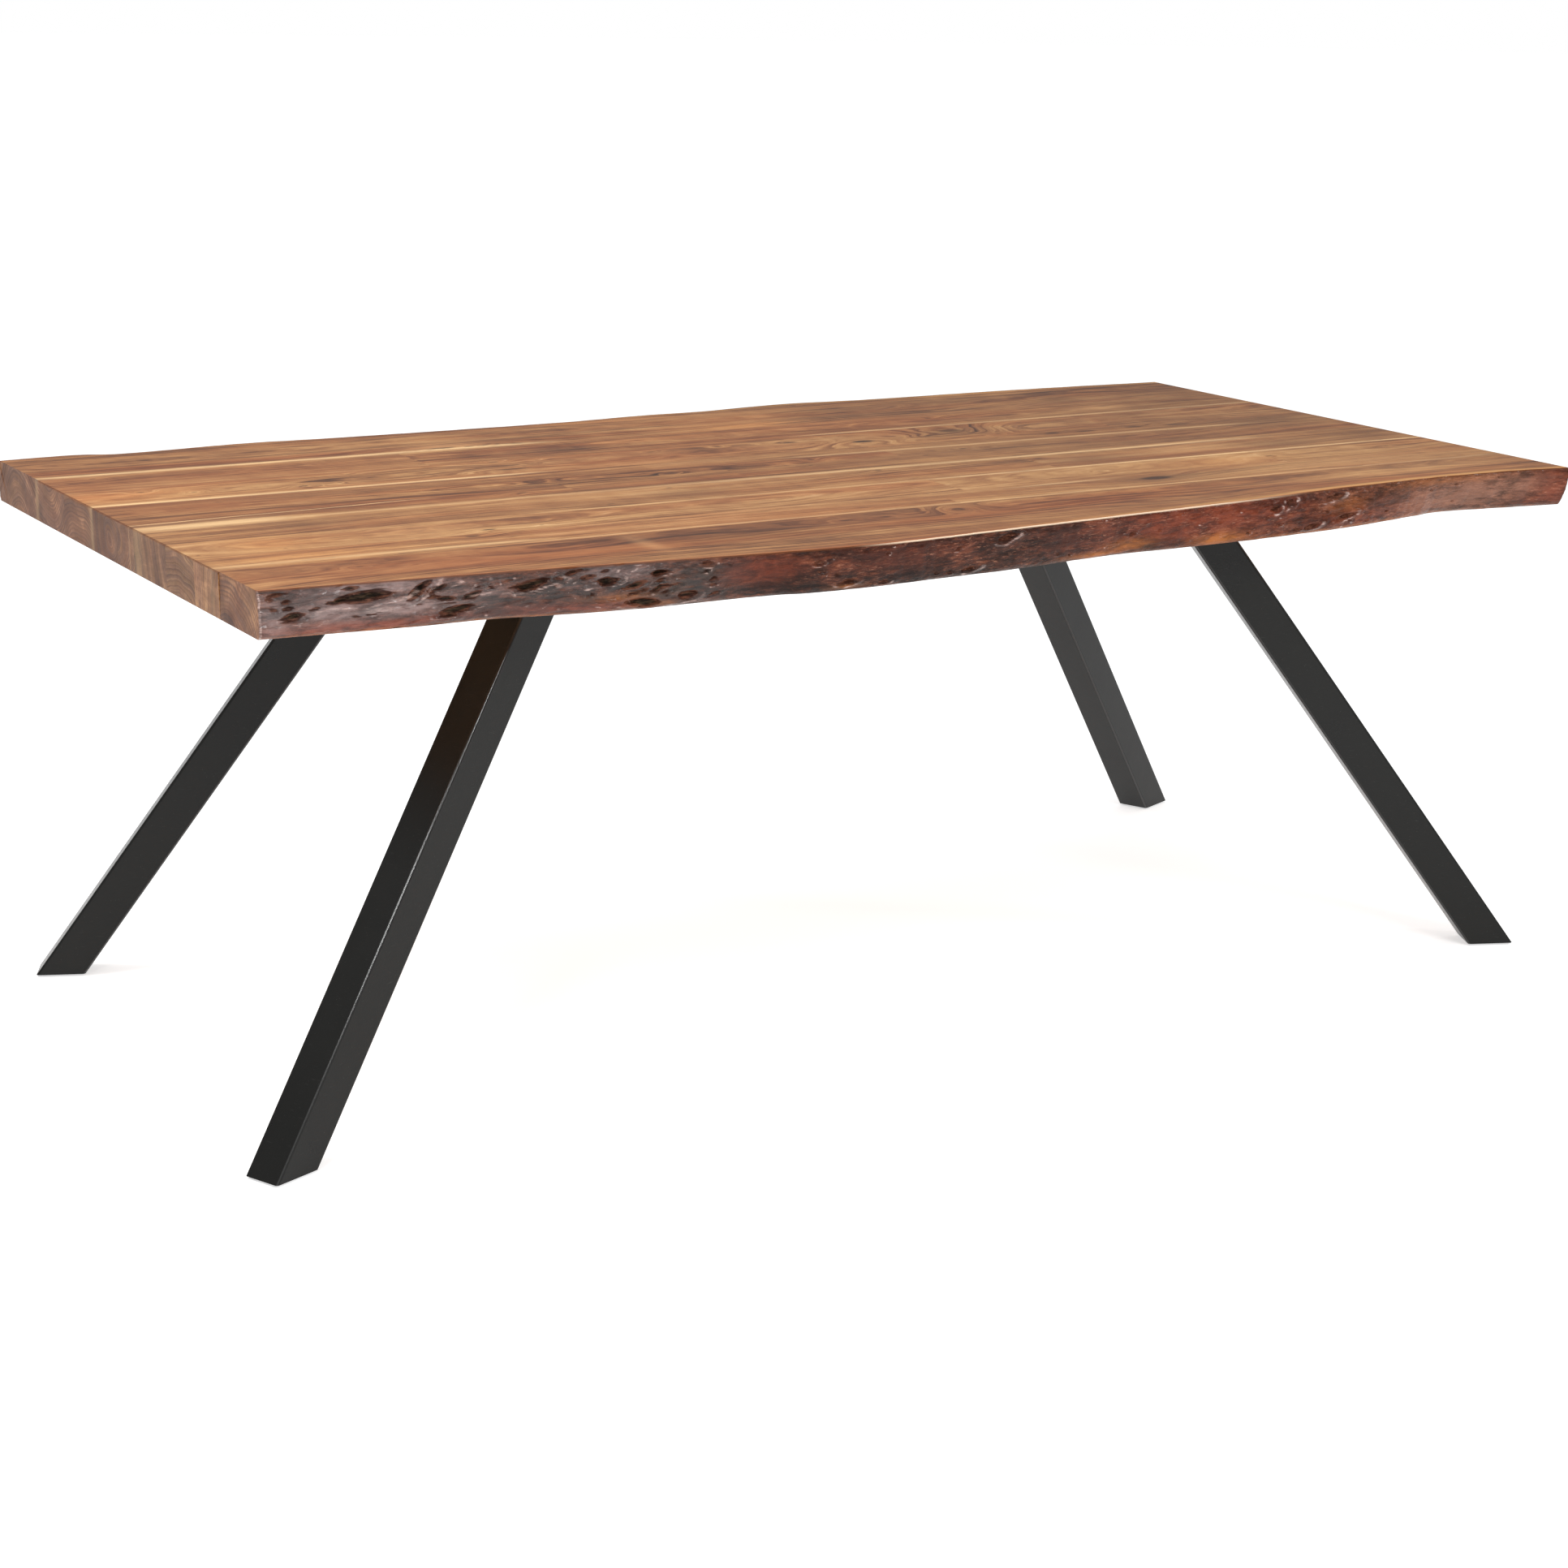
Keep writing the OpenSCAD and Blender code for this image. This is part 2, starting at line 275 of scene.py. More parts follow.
# Soft areas of another tone: x, y, half length, half width, tint, strength.
PATCHES = [
    # rear board
    (-730, 410, 290, 24, "red", 0.7), (-395, 400, 62, 30, "pale", 0.6), (-140, 408, 150, 20, "red", 0.5),
    (115, 398, 90, 28, "gold", 0.7), (350, 480, 90, 34, "grey", 0.7), (555, 480, 105, 34, "grey", 0.7),
    (730, 435, 45, 60, "dark", 0.7), (960, 450, 110, 90, "grey", 0.6),
    # row 7
    (-810, 310, 210, 60, "red", 0.5), (200, 290, 115, 22, "dark", 0.5), (745, 312, 62, 22, "pale", 0.5),
    (910, 310, 190, 80, "dark", 0.5),
    # row 6
    (-960, 190, 120, 40, "gold", 0.4), (280, 215, 60, 26, "red", 0.6), (725, 190, 95, 60, "dark", 0.5),
    (380, 200, 60, 40, "dark", 0.5),
    # row 5
    (-875, 72, 140, 50, "red", 0.7), (375, 30, 240, 30, "grey", 0.6), (925, 70, 100, 52, "grey", 0.7),
    (545, 112, 70, 24, "dark", 0.5), (720, 104, 90, 26, "dark", 0.5),
    # row 4
    (-820, -25, 230, 22, "red", 0.4), (600, -20, 200, 26, "grey", 0.4),
    # row 3
    (-805, -122, 56, 30, "grey", 0.6), (-255, -130, 60, 32, "grey", 0.6), (410, -130, 85, 32, "grey", 0.7),
    (775, -138, 66, 32, "grey", 0.7), (950, -110, 70, 60, "dark", 0.5), (610, -112, 56, 36, "pale", 0.4),
    # row 2
    (-900, -230, 60, 44, "gold", 0.6), (-700, -225, 60, 44, "pale", 0.4), (560, -235, 130, 40, "gold", 0.3),
    # row 1
    (410, -316, 90, 36, "grey", 0.8), (-880, -330, 130, 40, "gold", 0.5), (720, -330, 220, 40, "pale", 0.35),
    (-990, 300, 60, 170, "red", 0.5),
    # front board
    (-740, -430, 280, 56, "red", 0.7), (-478, -430, 14, 60, "pale", 0.5), (-330, -430, 130, 56, "dark", 0.6),
    (-80, -440, 150, 40, "red", 0.4), (760, -430, 240, 40, "pale", 0.3),
]

# Long lines: first x, last x, y at each, half width, tint, strength.
LINES = [
    (-1030, -440, 440, 440, 4, "dark", 0.8), (-350, 50, 434, 447, 2.5, "dark", 0.8),
    (-1030, -250, 382, 379, 8, "pale", 0.95), (-1030, -500, 393, 392, 3, "dark", 0.5),
    (150, 1030, 260, 257, 4, "pale", 0.6), (-1030, 200, 247, 247, 2, "dark", 0.4),
    (-1030, -380, 128, 126, 6, "pale", 1.0), (-1030, -300, 113, 116, 3, "red", 0.6),
    (30, 850, 78, 60, 5, "pale", 0.5), (-1030, -560, 16, 14, 6, "dark", 0.9),
    (-1030, -600, -32, -8, 1.8, "pale", 0.9), (-1030, -640, -40, -20, 3, "dark", 0.6),
    (-420, 160, -47, -47, 3, "dark", 0.9), (-1030, -820, -64, -62, 17, "pale", 0.85),
    (-820, -200, -62, -60, 6, "pale", 0.35), (-200, 760, -62, -66, 7, "pale", 0.7),
    (-500, 100, -180, -180, 3, "pale", 0.4), (105, 1030, -181, -180, 4, "pale", 0.85),
    (180, 330, -296, -291, 5, "pale", 0.5), (-1030, -600, -350, -352, 8, "pale", 0.5),
    (-600, 1030, -366, -366, 3, "pale", 0.5), (420, 700, -318, -300, 3, "dark", 0.5),
    (-1030, 1030, -376, -377, 1.6, "dark", 0.5), (-200, 900, -470, -452, 4, "dark", 0.4),
]

# Heart of the log that each row was sawn from, as y and height over the floor, and its tones.
# Lightness and redness are added to the whole row; ring is the width of a growth ring, and end is the
# lightness of the row's end grain.
ROWS = {
    "edge_board_front": dict(heart=(-395, 640), ring=6.0, light=-0.02, red=0.30, end=0.06),
    "stave_1": dict(heart=(-590, 700), ring=5.0, light=0.10, red=0.05, end=0.16),
    "stave_2": dict(heart=(-215, 650), ring=7.0, light=0.08, red=0.00, end=-0.10),
    "stave_3": dict(heart=(60, 690), ring=5.0, light=0.04, red=0.00, end=-0.06),
    "stave_4": dict(heart=(40, 737), ring=4.5, light=-0.04, red=0.20, end=0.08),
    "stave_5": dict(heart=(40, 737), ring=4.5, light=0.00, red=0.12, end=-0.12),
    "stave_6": dict(heart=(190, 640), ring=6.0, light=0.06, red=0.05, end=-0.04),
    "stave_7": dict(heart=(312, 790), ring=5.5, light=0.00, red=0.15, end=0.06),
    "edge_board_rear": dict(heart=(470, 660), ring=7.0, light=-0.04, red=0.12, end=0.00),
}

FACE_WOOD = [
    (0.00, srgb(62, 36, 20)),
    (0.22, srgb(108, 67, 39)),
    (0.45, srgb(154, 104, 63)),
    (0.66, srgb(184, 136, 87)),
    (1.00, srgb(224, 184, 134)),
]
END_WOOD = [
    (0.00, srgb(36, 22, 20)),
    (0.30, srgb(68, 46, 40)),
    (0.60, srgb(106, 75, 60)),
    (1.00, srgb(176, 132, 98)),
]


def cad_points(node):
    """Corners of a CAD node's mesh, in metres."""
    return np.array([v.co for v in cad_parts[node].data.vertices])


def row_of(node):
    """The row of staves a node belongs to."""
    return node if node.startswith("edge_board") else node[: len("stave_0")]


def within(node, x, y, reach_x=0.0, reach_y=0.0):
    """Whether a place on the plan, with the reach round it, touches a node."""
    low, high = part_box(node)
    inside_x = low.x - reach_x * MM <= x * MM <= high.x + reach_x * MM
    return inside_x and low.y - reach_y * MM <= y * MM <= high.y + reach_y * MM


def ellipse(n, place, x, y, half_length, half_width):
    """Distance from the centre of an ellipse on the plan; 1 at its edge."""
    offset = n.vector("SUBTRACT", place, (x * MM, y * MM, 0))
    scaled = n.vector("MULTIPLY", offset, (1 / (half_length * MM), 1 / (half_width * MM), 0))
    return n.vector("LENGTH", scaled)


def bell(n, distance):
    """1 at a distance of 0, falling smoothly to about 0.02 at 2."""
    return n.math("EXPONENT", n.times(n.times(distance, distance), -1.0))


def line_mask(n, x, y, wave, line):
    """Strength of one long line of another tone, which wavers and fades in and out."""
    first, last, y_first, y_last, half_width, _, strength = line
    slope = (y_last - y_first) / (last - first)
    centre = n.line(x, slope, (y_first - slope * first) * MM)
    centre = n.line(wave, 0.007, centre)
    distance = n.times(n.less(y, centre), 1 / (half_width * MM))
    fade = 60
    start = n.window(x, (first - fade) * MM, (first + fade) * MM)
    end = n.fall(x, (last - fade) * MM, (last + fade) * MM)
    return n.times(n.times(bell(n, distance), start), n.times(end, strength))


def growth_rings(n, node, place, y, z, shifted):
    """Rings round the heart of the log: offsets and distance from it, waver, late wood and knots' cores."""
    row = ROWS[row_of(node)]
    drift = n.less(n.noise(shifted, (1.1, 5, 5)), 0.5)
    waver = n.less(n.noise(shifted, (5, 26, 26), detail=3), 0.5)
    heart_y, heart_z = row["heart"]
    across = n.line(drift, 0.10, n.less(y, heart_y * MM))
    down = n.line(drift, -0.06, n.less(z, heart_z * MM))
    radius = n.vector("LENGTH", n.join(across, down, 0))
    radius = n.line(waver, 0.010, radius)
    cores = []
    for kx, ky, length, width, strength in KNOTS:
        if not within(node, kx, ky):
            continue
        swirl = ellipse(n, place, kx, ky, 1.7 * length, 1.5 * width)
        radius = n.line(bell(n, swirl), 0.9 * width * MM, radius)
        core = ellipse(n, place, kx, ky, 0.5 * length, 0.42 * width)
        cores.append(n.window(core, 0.45, 1.15, strength, 0.0))
    grown = n.times(radius, 1 / (row["ring"] * MM))
    phase = n.math("FRACT", grown)
    late = n.times(n.window(phase, 0.30, 0.88), n.fall(phase, 0.90, 1.0))
    return across, down, radius, waver, late, cores


def hand_placed(n, node, seed, place, x, y, colour, breakup):
    """The wood's colour with the areas and long lines that are placed one by one."""
    for px, py, half_length, half_width, tint, strength in PATCHES:
        if not within(node, px, py, half_length, half_width):
            continue
        area = bell(n, ellipse(n, place, px, py, half_length, half_width))
        area = n.times(n.times(area, breakup), strength * 0.75, clamp=True)
        colour = n.mix(area, colour, n.mix(0.35, TINTS[tint], colour, "OVERLAY"))
    wave = n.less(n.noise(n.join(x, seed * 1.7, 0), (6, 1, 1), detail=3), 0.5)
    for line in LINES:
        first, last, y_first, y_last, half_width, tint, _ = line
        middle, level = (first + last) / 2, (y_first + y_last) / 2
        if not within(node, middle, level, (last - first) / 2, 2 * half_width + 4):
            continue
        strength = n.times(line_mask(n, x, y, wave, line), breakup, clamp=True)
        colour = n.mix(strength, colour, TINTS[tint])
    return colour


def wood(node, seed, live_edge=False):
    """Satin-lacquered solid wood with growth rings that run through faces and end grain alike."""
    row = ROWS[row_of(node)]
    n = Nodes("wood_" + node)
    place = n.place()
    x, y, z = n.split(place)
    shifted = n.vector("ADD", place, (seed * 3.17, seed * 1.31, seed * 0.77))

    across, down, radius, waver, late, cores = growth_rings(n, node, place, y, z, shifted)

    # streaks that follow the rings
    along = n.join(x, radius, n.times(z, 0.15))
    along = n.vector("ADD", along, (seed * 7.3, seed * 2.9, 0))
    broad = n.noise(along, (1.1, 40, 9), detail=3, roughness=0.65)
    streak = n.noise(along, (2.6, 115, 20), detail=5, roughness=0.80)
    fine = n.noise(along, (11, 520, 60), detail=3, roughness=0.7)
    fibre = n.noise(shifted, (30, 2600, 2600), detail=1)
    cloud = n.noise(shifted, (3.0, 12, 12), detail=3, roughness=0.55)
    curl = n.noise(shifted, (34, 7, 7))
    pores = n.window(n.noise(shifted, (90, 1900, 1900), detail=0), 0.66, 0.78)
    flecks = n.window(n.noise(shifted, (22, 210, 210), roughness=0.6), 0.61, 0.70)

    calm = n.window(x, -0.6, 0.6, 1.0, 0.72)
    shade = n.times(n.less(broad, 0.5), 0.52)
    shade = n.sway(streak, 0.98, shade)
    shade = n.sway(fine, 1.00, shade)
    shade = n.line(shade, calm, 0.49 + row["light"])
    shade = n.sway(cloud, 0.40, shade)
    shade = n.sway(curl, 0.16, shade)
    ring_depth = n.window(broad, 0.35, 0.62, -0.27, -0.04)
    shade = n.line(late, ring_depth, shade)
    colour = n.ramp(shade, FACE_WOOD)

    # redder heartwood in clouds
    ruddy = n.noise(shifted, (1.6, 16, 16))
    ruddy = n.window(ruddy, 0.42 - row["red"] / 3, 0.78, 0.0, 0.55 + row["red"] / 2)
    colour = n.mix(ruddy, colour, n.mix(1.0, colour, srgb(226, 170, 138), "MULTIPLY"))
    breakup = n.window(streak, 0.25, 0.70, 0.45, 1.15)
    colour = hand_placed(n, node, seed, place, x, y, colour, breakup)
    for core in cores:
        broken = n.times(core, n.window(fine, 0.2, 0.6, 0.75, 1.05), clamp=True)
        colour = n.mix(broken, colour, KNOT)
    if live_edge:
        rind = n.add(n.attribute("from_edge"), n.times(waver, 0.012))
        sap = n.fall(rind, 0.004, 0.020)
        sap = n.times(sap, n.window(x, -0.2, 0.5, 0.0, 0.75))
        colour = n.mix(n.times(sap, n.window(cloud, 0.3, 0.6, 0.25, 1.0)), colour, GOLD)
        worn = n.window(rind, 0.0, 0.006, 0.7, 0.0)
        colour = n.mix(worn, colour, srgb(150, 84, 44))

    # end grain: greyer and darker, with the rings standing out and rays from the heart
    end = n.math("ABSOLUTE", n.split(n.place("Normal"))[0])
    is_end = n.window(end, 0.80, 0.92)
    is_rim = n.times(n.window(end, 0.45, 0.68), n.fall(end, 0.80, 0.92))
    angle = n.math("ARCTAN2", across, down)
    rays = n.noise(n.join(angle, n.times(radius, 3.0), seed), (46, 12, 1), detail=3)
    speck = n.noise(shifted, (1, 900, 900), detail=1)
    murk = n.noise(shifted, (9, 24, 30), detail=4, roughness=0.62)
    ring_show = n.window(murk, 0.38, 0.62, 0.0, -0.20)
    end_shade = n.line(late, ring_show, 0.50 + row["end"])
    end_shade = n.sway(rays, 0.55, end_shade)
    end_shade = n.sway(murk, 1.5, end_shade)
    end_shade = n.sway(broad, 0.9, end_shade)
    end_shade = n.sway(speck, 0.30, end_shade)
    end_colour = n.mix(0.30, n.ramp(end_shade, END_WOOD), colour)
    colour = n.mix(is_end, colour, end_colour)
    colour = n.mix(n.times(is_rim, 0.7), colour, srgb(92, 52, 32))
    colour = n.mix(n.times(pores, n.window(cloud, 0.3, 0.7, 0.10, 0.34)), colour, DARK)
    flecked = n.times(n.times(flecks, n.less(1.0, is_end)), n.window(cloud, 0.35, 0.6, 0.6, 0.1))
    colour = n.mix(flecked, colour, DARK)

    height = n.line(fine, 0.5, n.times(fibre, 0.35))
    height = n.line(pores, -0.8, height)
    height = n.line(late, 0.25, height)
    rough = n.window(streak, 0.2, 0.8, 0.36, 0.50)
    rough = n.line(is_end, 0.08, rough)
    return n.surface(
        Base_Color=colour,
        Roughness=rough,
        Specular_IOR_Level=n.line(is_end, -0.18, 0.30),
        Coat_Weight=0.04,
        Coat_Roughness=n.window(cloud, 0.2, 0.8, 0.16, 0.30),
        Normal=n.bump(height, 0.00006, n.bump(n.times(curl, cloud), 0.0004)),
    )


# ---- live edge


def ring_faces(rings, sides, closed=False):
    """Faces between neighbouring rings of points; closed joins the last ring to the first."""
    faces = []
    for i in range(rings if closed else rings - 1):
        a, b = i * sides, (i + 1) % rings * sides
        for k in range(sides):
            m = (k + 1) % sides
            faces.append((a + k, a + m, b + m, b + k))
    return faces


# Hollows of the front edge: x, depth below the top as a share of the thickness, length, height,
# turn in degrees, depth, height of the rim round it.
FRONT_HOLLOWS = [
    (-1004, 0.2, 12, 7, 0, 2.0, 0.4), (-1000, 0.4, 14, 7, 0, 2.0, 0.5), (-996, 0.13, 24, 6, -4, 2.5, 0.6),
    (-982, 0.27, 14, 6, -8, 2.6, 0.7), (-980, 0.4, 19, 7, -6, 3.0, 0.8),
    (-974, 0.58, 40, 13, -10, 3.6, 1.2), (-950, 0.44, 14, 6, -10, 1.8, 0.6),
    (-903, 0.1, 27, 6, -4, 2.4, 0.6), (-888, 0.29, 82, 17, -3, 4.6, 1.4),
    (-920, 0.34, 34, 8, -6, 2.2, 0.5), (-822, 0.26, 46, 15, -30, 4.2, 1.8),
    (-805, 0.34, 14, 6, -10, 1.6, 0.5), (-776, 0.7, 50, 12, -8, 3.0, 1.0),
    (-784, 0.8, 26, 8, -6, 2.2, 0.6), (-682, 0.29, 58, 12, -8, 3.2, 1.2),
    (-626, 0.1, 26, 7, -14, 2.2, 0.8), (-590, 0.12, 16, 6, -8, 1.8, 0.6),
    (-584, 0.36, 28, 10, -16, 3.0, 1.4), (-519, 0.23, 34, 7, -8, 3.0, 1.0),
    (-542, 0.86, 54, 13, 4, 3.4, 1.2), (-454, 0.12, 16, 8, 0, 2.0, 1.2), (-479, 0.8, 32, 14, 0, 3.0, 1.0),
    (-305, 0.29, 16, 8, 0, 2.2, 0.8), (-303, 0.51, 12, 6, 0, 1.6, 0.6), (-279, 0.62, 12, 6, 0, 1.6, 0.6),
    (-258, 0.8, 30, 11, -4, 2.8, 1.0), (-205, 0.89, 22, 8, 0, 2.0, 0.8), (-90, 0.3, 13, 7, -20, 2.0, 0.8),
    (-97, 0.86, 12, 6, 0, 1.5, 0.6), (-66, 0.84, 27, 10, -8, 2.6, 1.0), (-13, 0.2, 30, 12, -6, 3.2, 1.4),
    (79, 0.74, 10, 5, 0, 1.6, 0.4), (205, 0.47, 14, 7, -14, 2.0, 0.9), (333, 0.56, 8, 5, 0, 1.6, 0.4),
    (358, 0.45, 8, 5, 0, 1.6, 0.4), (458, 0.28, 16, 12, -10, 3.2, 1.4), (488, 0.16, 20, 7, -16, 2.4, 1.4),
    (500, 0.86, 14, 7, 0, 2.0, 0.5), (574, 0.19, 36, 9, -8, 2.8, 1.5), (595, 0.7, 36, 9, -10, 2.8, 1.5),
    (529, 0.83, 32, 8, -8, 2.4, 1.2), (640, 0.88, 10, 5, 0, 1.2, 0.7),
]
# Raised spots: x, depth as a share of the thickness, length, height, turn, how far they stand out.
FRONT_BUMPS = [
    (-770, 0.1, 12, 7, -20, 1.6), (-752, 0.2, 11, 7, -10, 1.5), (-735, 0.09, 13, 7, -20, 1.6),
    (-722, 0.22, 12, 7, -20, 1.5), (-705, 0.12, 12, 8, -16, 1.6), (-705, 0.5, 12, 7, 0, 1.4),
    (-650, 0.36, 22, 9, -20, 1.7), (-628, 0.28, 20, 7, -24, 1.6), (-612, 0.46, 24, 8, -20, 1.5),
    (-571, 0.12, 26, 7, -30, 1.9), (-553, 0.14, 24, 6, -30, 1.9), (-808, 0.84, 14, 7, 0, 1.3),
    (-687, 0.76, 13, 7, 0, 1.3), (-648, 0.86, 14, 7, 0, 1.2), (-600, 0.86, 12, 6, 0, 1.2),
    (-737, 0.88, 14, 6, 0, 1.2), (-870, 0.55, 90, 16, -3, 1.8), (-746, 0.4, 60, 12, -8, 1.4),
    (-284, 0.24, 9, 6, 0, 1.2), (-196, 0.1, 8, 5, 0, 1.1), (52, 0.77, 8, 5, 0, 1.1),
    (155, 0.1, 9, 5, 0, 1.2), (160, 0.76, 8, 5, 0, 1.1), (226, 0.28, 9, 5, -14, 1.3),
    (188, 0.45, 10, 5, -14, 1.4), (306, 0.82, 9, 5, 0, 1.2), (317, 0.44, 9, 5, 0, 1.2),
    (395, 0.26, 10, 5, 0, 1.3), (447, 0.5, 9, 5, 0, 1.2), (468, 0.5, 9, 5, 0, 1.2),
    (474, 0.13, 18, 8, -18, 2.0), (478, 0.32, 16, 8, -18, 2.0), (494, 0.26, 14, 6, -18, 1.6),
    (587, 0.93, 12, 5, 0, 1.2), (609, 0.86, 9, 5, 0, 1.2), (634, 0.1, 10, 5, 0, 1.1),
]
# Areas of another bark tone, or of painted sheen: x, share of the thickness, half length, half height
# (share), tone, strength.
FRONT_TONES = [
    (-900, 0.88, 150, 0.14, "ruddy", 1.0), (-930, 0.5, 50, 0.26, "painted_sheen", 1.3),
    (-868, 0.54, 90, 0.18, "painted_sheen", 1.3), (-870, 0.1, 90, 0.14, "painted_sheen", 1.2),
    (-760, 0.36, 60, 0.14, "painted_sheen", 0.5), (-610, 0.4, 40, 0.1, "painted_sheen", 0.25),
    (-575, 0.16, 50, 0.16, "painted_sheen", 0.7), (-1000, 0.55, 24, 0.4, "painted_sheen", 0.9),
    (-568, 0.7, 46, 0.08, "amber", 0.6), (-640, 0.86, 130, 0.14, "ruddy", 0.7),
    (-520, 0.9, 26, 0.06, "amber", 0.8), (-500, 0.58, 30, 0.3, "moss", 0.7),
    (-454, 0.3, 22, 0.18, "moss", 0.8), (-375, 0.34, 60, 0.3, "ruddy", 0.85),
    (-258, 0.92, 24, 0.05, "amber", 0.8), (-200, 0.3, 160, 0.4, "ruddy", 0.35),
    (145, 0.93, 44, 0.08, "amber", 1.2), (205, 0.76, 36, 0.14, "amber", 1.0),
    (237, 0.86, 15, 0.07, "moss", 1.0), (360, 0.88, 40, 0.15, "amber", 1.4),
    (330, 0.35, 210, 0.6, "ruddy", 0.85), (600, 0.4, 40, 0.2, "amber", 0.4),
    (620, 0.7, 150, 0.4, "ruddy", 0.5), (790, 0.1, 90, 0.12, "amber", 0.5),
    (830, 0.5, 110, 0.45, "haze", 1.3), (920, 0.4, 60, 0.4, "haze", 1.0),
    (990, 0.5, 50, 0.6, "ruddy", 0.9),
    (620, 0.97, 400, 0.035, "amber", 0.8), (-800, 0.98, 260, 0.03, "amber", 0.7),
]
BARK = [
    (0.20, srgb(19, 10, 7)),
    (0.40, srgb(40, 22, 15)),
    (0.52, srgb(62, 34, 24)),
    (0.68, srgb(90, 51, 35)),
    (0.90, srgb(128, 84, 62)),
]
BARK_TONES = {
    "ruddy": srgb(120, 52, 30),
    # painted sheen: a pale grey-violet put where the lacquer would catch the light
    "painted_sheen": srgb(136, 114, 110),
    "haze": srgb(134, 94, 76),
    "amber": srgb(158, 94, 42),
    "moss": srgb(34, 32, 25),
}
TOP_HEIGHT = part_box("stave_4_middle")[1].z / MM
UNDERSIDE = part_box("stave_4_middle")[0].z / MM
THICKNESS = TOP_HEIGHT - UNDERSIDE
BARK_STEP = 2.0
BARK_ROWS = 44
WOOD_COLUMNS = (0.0, 0.35, 0.62, 0.80, 0.90, 0.96)
# Shares of the thickness over which the relief dies away at the top and at the underside.
PLANED_TOP, PLANED_UNDER = 0.07, 0.06
BARK_INSET = 0.4
END_ARRIS = 1.6


def lattice_noise(rng, x, y, cell_x, cell_y):
    """Smooth random heights from -1 to 1 with a feature to each cell, at x and y in millimetres."""
    u, v = x / cell_x, y / cell_y
    u = u - u.min() + 1
    v = v - v.min() + 1
    heights = rng.uniform(-1, 1, (int(u.max()) + 3, int(v.max()) + 3))
    i, j = u.astype(int), v.astype(int)
    a, b = u - i, v - j
    a, b = a * a * (3 - 2 * a), b * b * (3 - 2 * b)
    near = heights[i, j] * (1 - a) + heights[i + 1, j] * a
    far = heights[i, j + 1] * (1 - a) + heights[i + 1, j + 1] * a
    return near * (1 - b) + far * b


def in_ellipse(x, y, centre_x, centre_y, length, height, turn):
    """Places along and across a turned ellipse, which run from -1 to 1 inside it."""
    c, s = math.cos(math.radians(turn)), math.sin(math.radians(turn))
    dx, dy = x - centre_x, y - centre_y
    return (dx * c + dy * s) / (length / 2), (dy * c - dx * s) / (height / 2)


def edge_rows(node):
    """The live edge of a CAD board, as its y in millimetres along x at each level of its section."""
    points = cad_points(node) / MM
    low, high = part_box(node)
    glue = (high.y if node.endswith("front") else low.y) / MM
    points = points[np.abs(points[:, 1] - glue) > 1.0]
    levels = []
    for z in np.unique(np.round(points[:, 2], 2)):
        level = points[np.abs(points[:, 2] - z) < 0.02]
        xs, first = np.unique(np.round(level[:, 0], 1), return_index=True)
        if len(xs) > 50:
            levels.append((z, xs, level[first, 1]))
    return levels[::-1], glue


def smooth_through(places, values, at):
    """A smooth curve through values at places, read at other places."""
    slopes = np.gradient(values, places)
    i = np.clip(np.searchsorted(places, at) - 1, 0, len(places) - 2)
    run = places[i + 1] - places[i]
    t = np.clip((at - places[i]) / run, 0, 1)
    near, far = values[i], values[i + 1]
    bow = run * t * (1 - t) * (slopes[i] * (1 - t) - slopes[i + 1] * t)
    return near + (far - near) * t * t * (3 - 2 * t) + bow


def gnarled(x):
    """How gnarled the edge is at x: 1 where it is pitted and flowing, less where it is only fibrous."""
    return 0.30 + 0.70 * (1 - np.clip((x + 520) / 180, 0, 1)) + 0.25 * np.exp(-(((x - 520) / 110) ** 2))


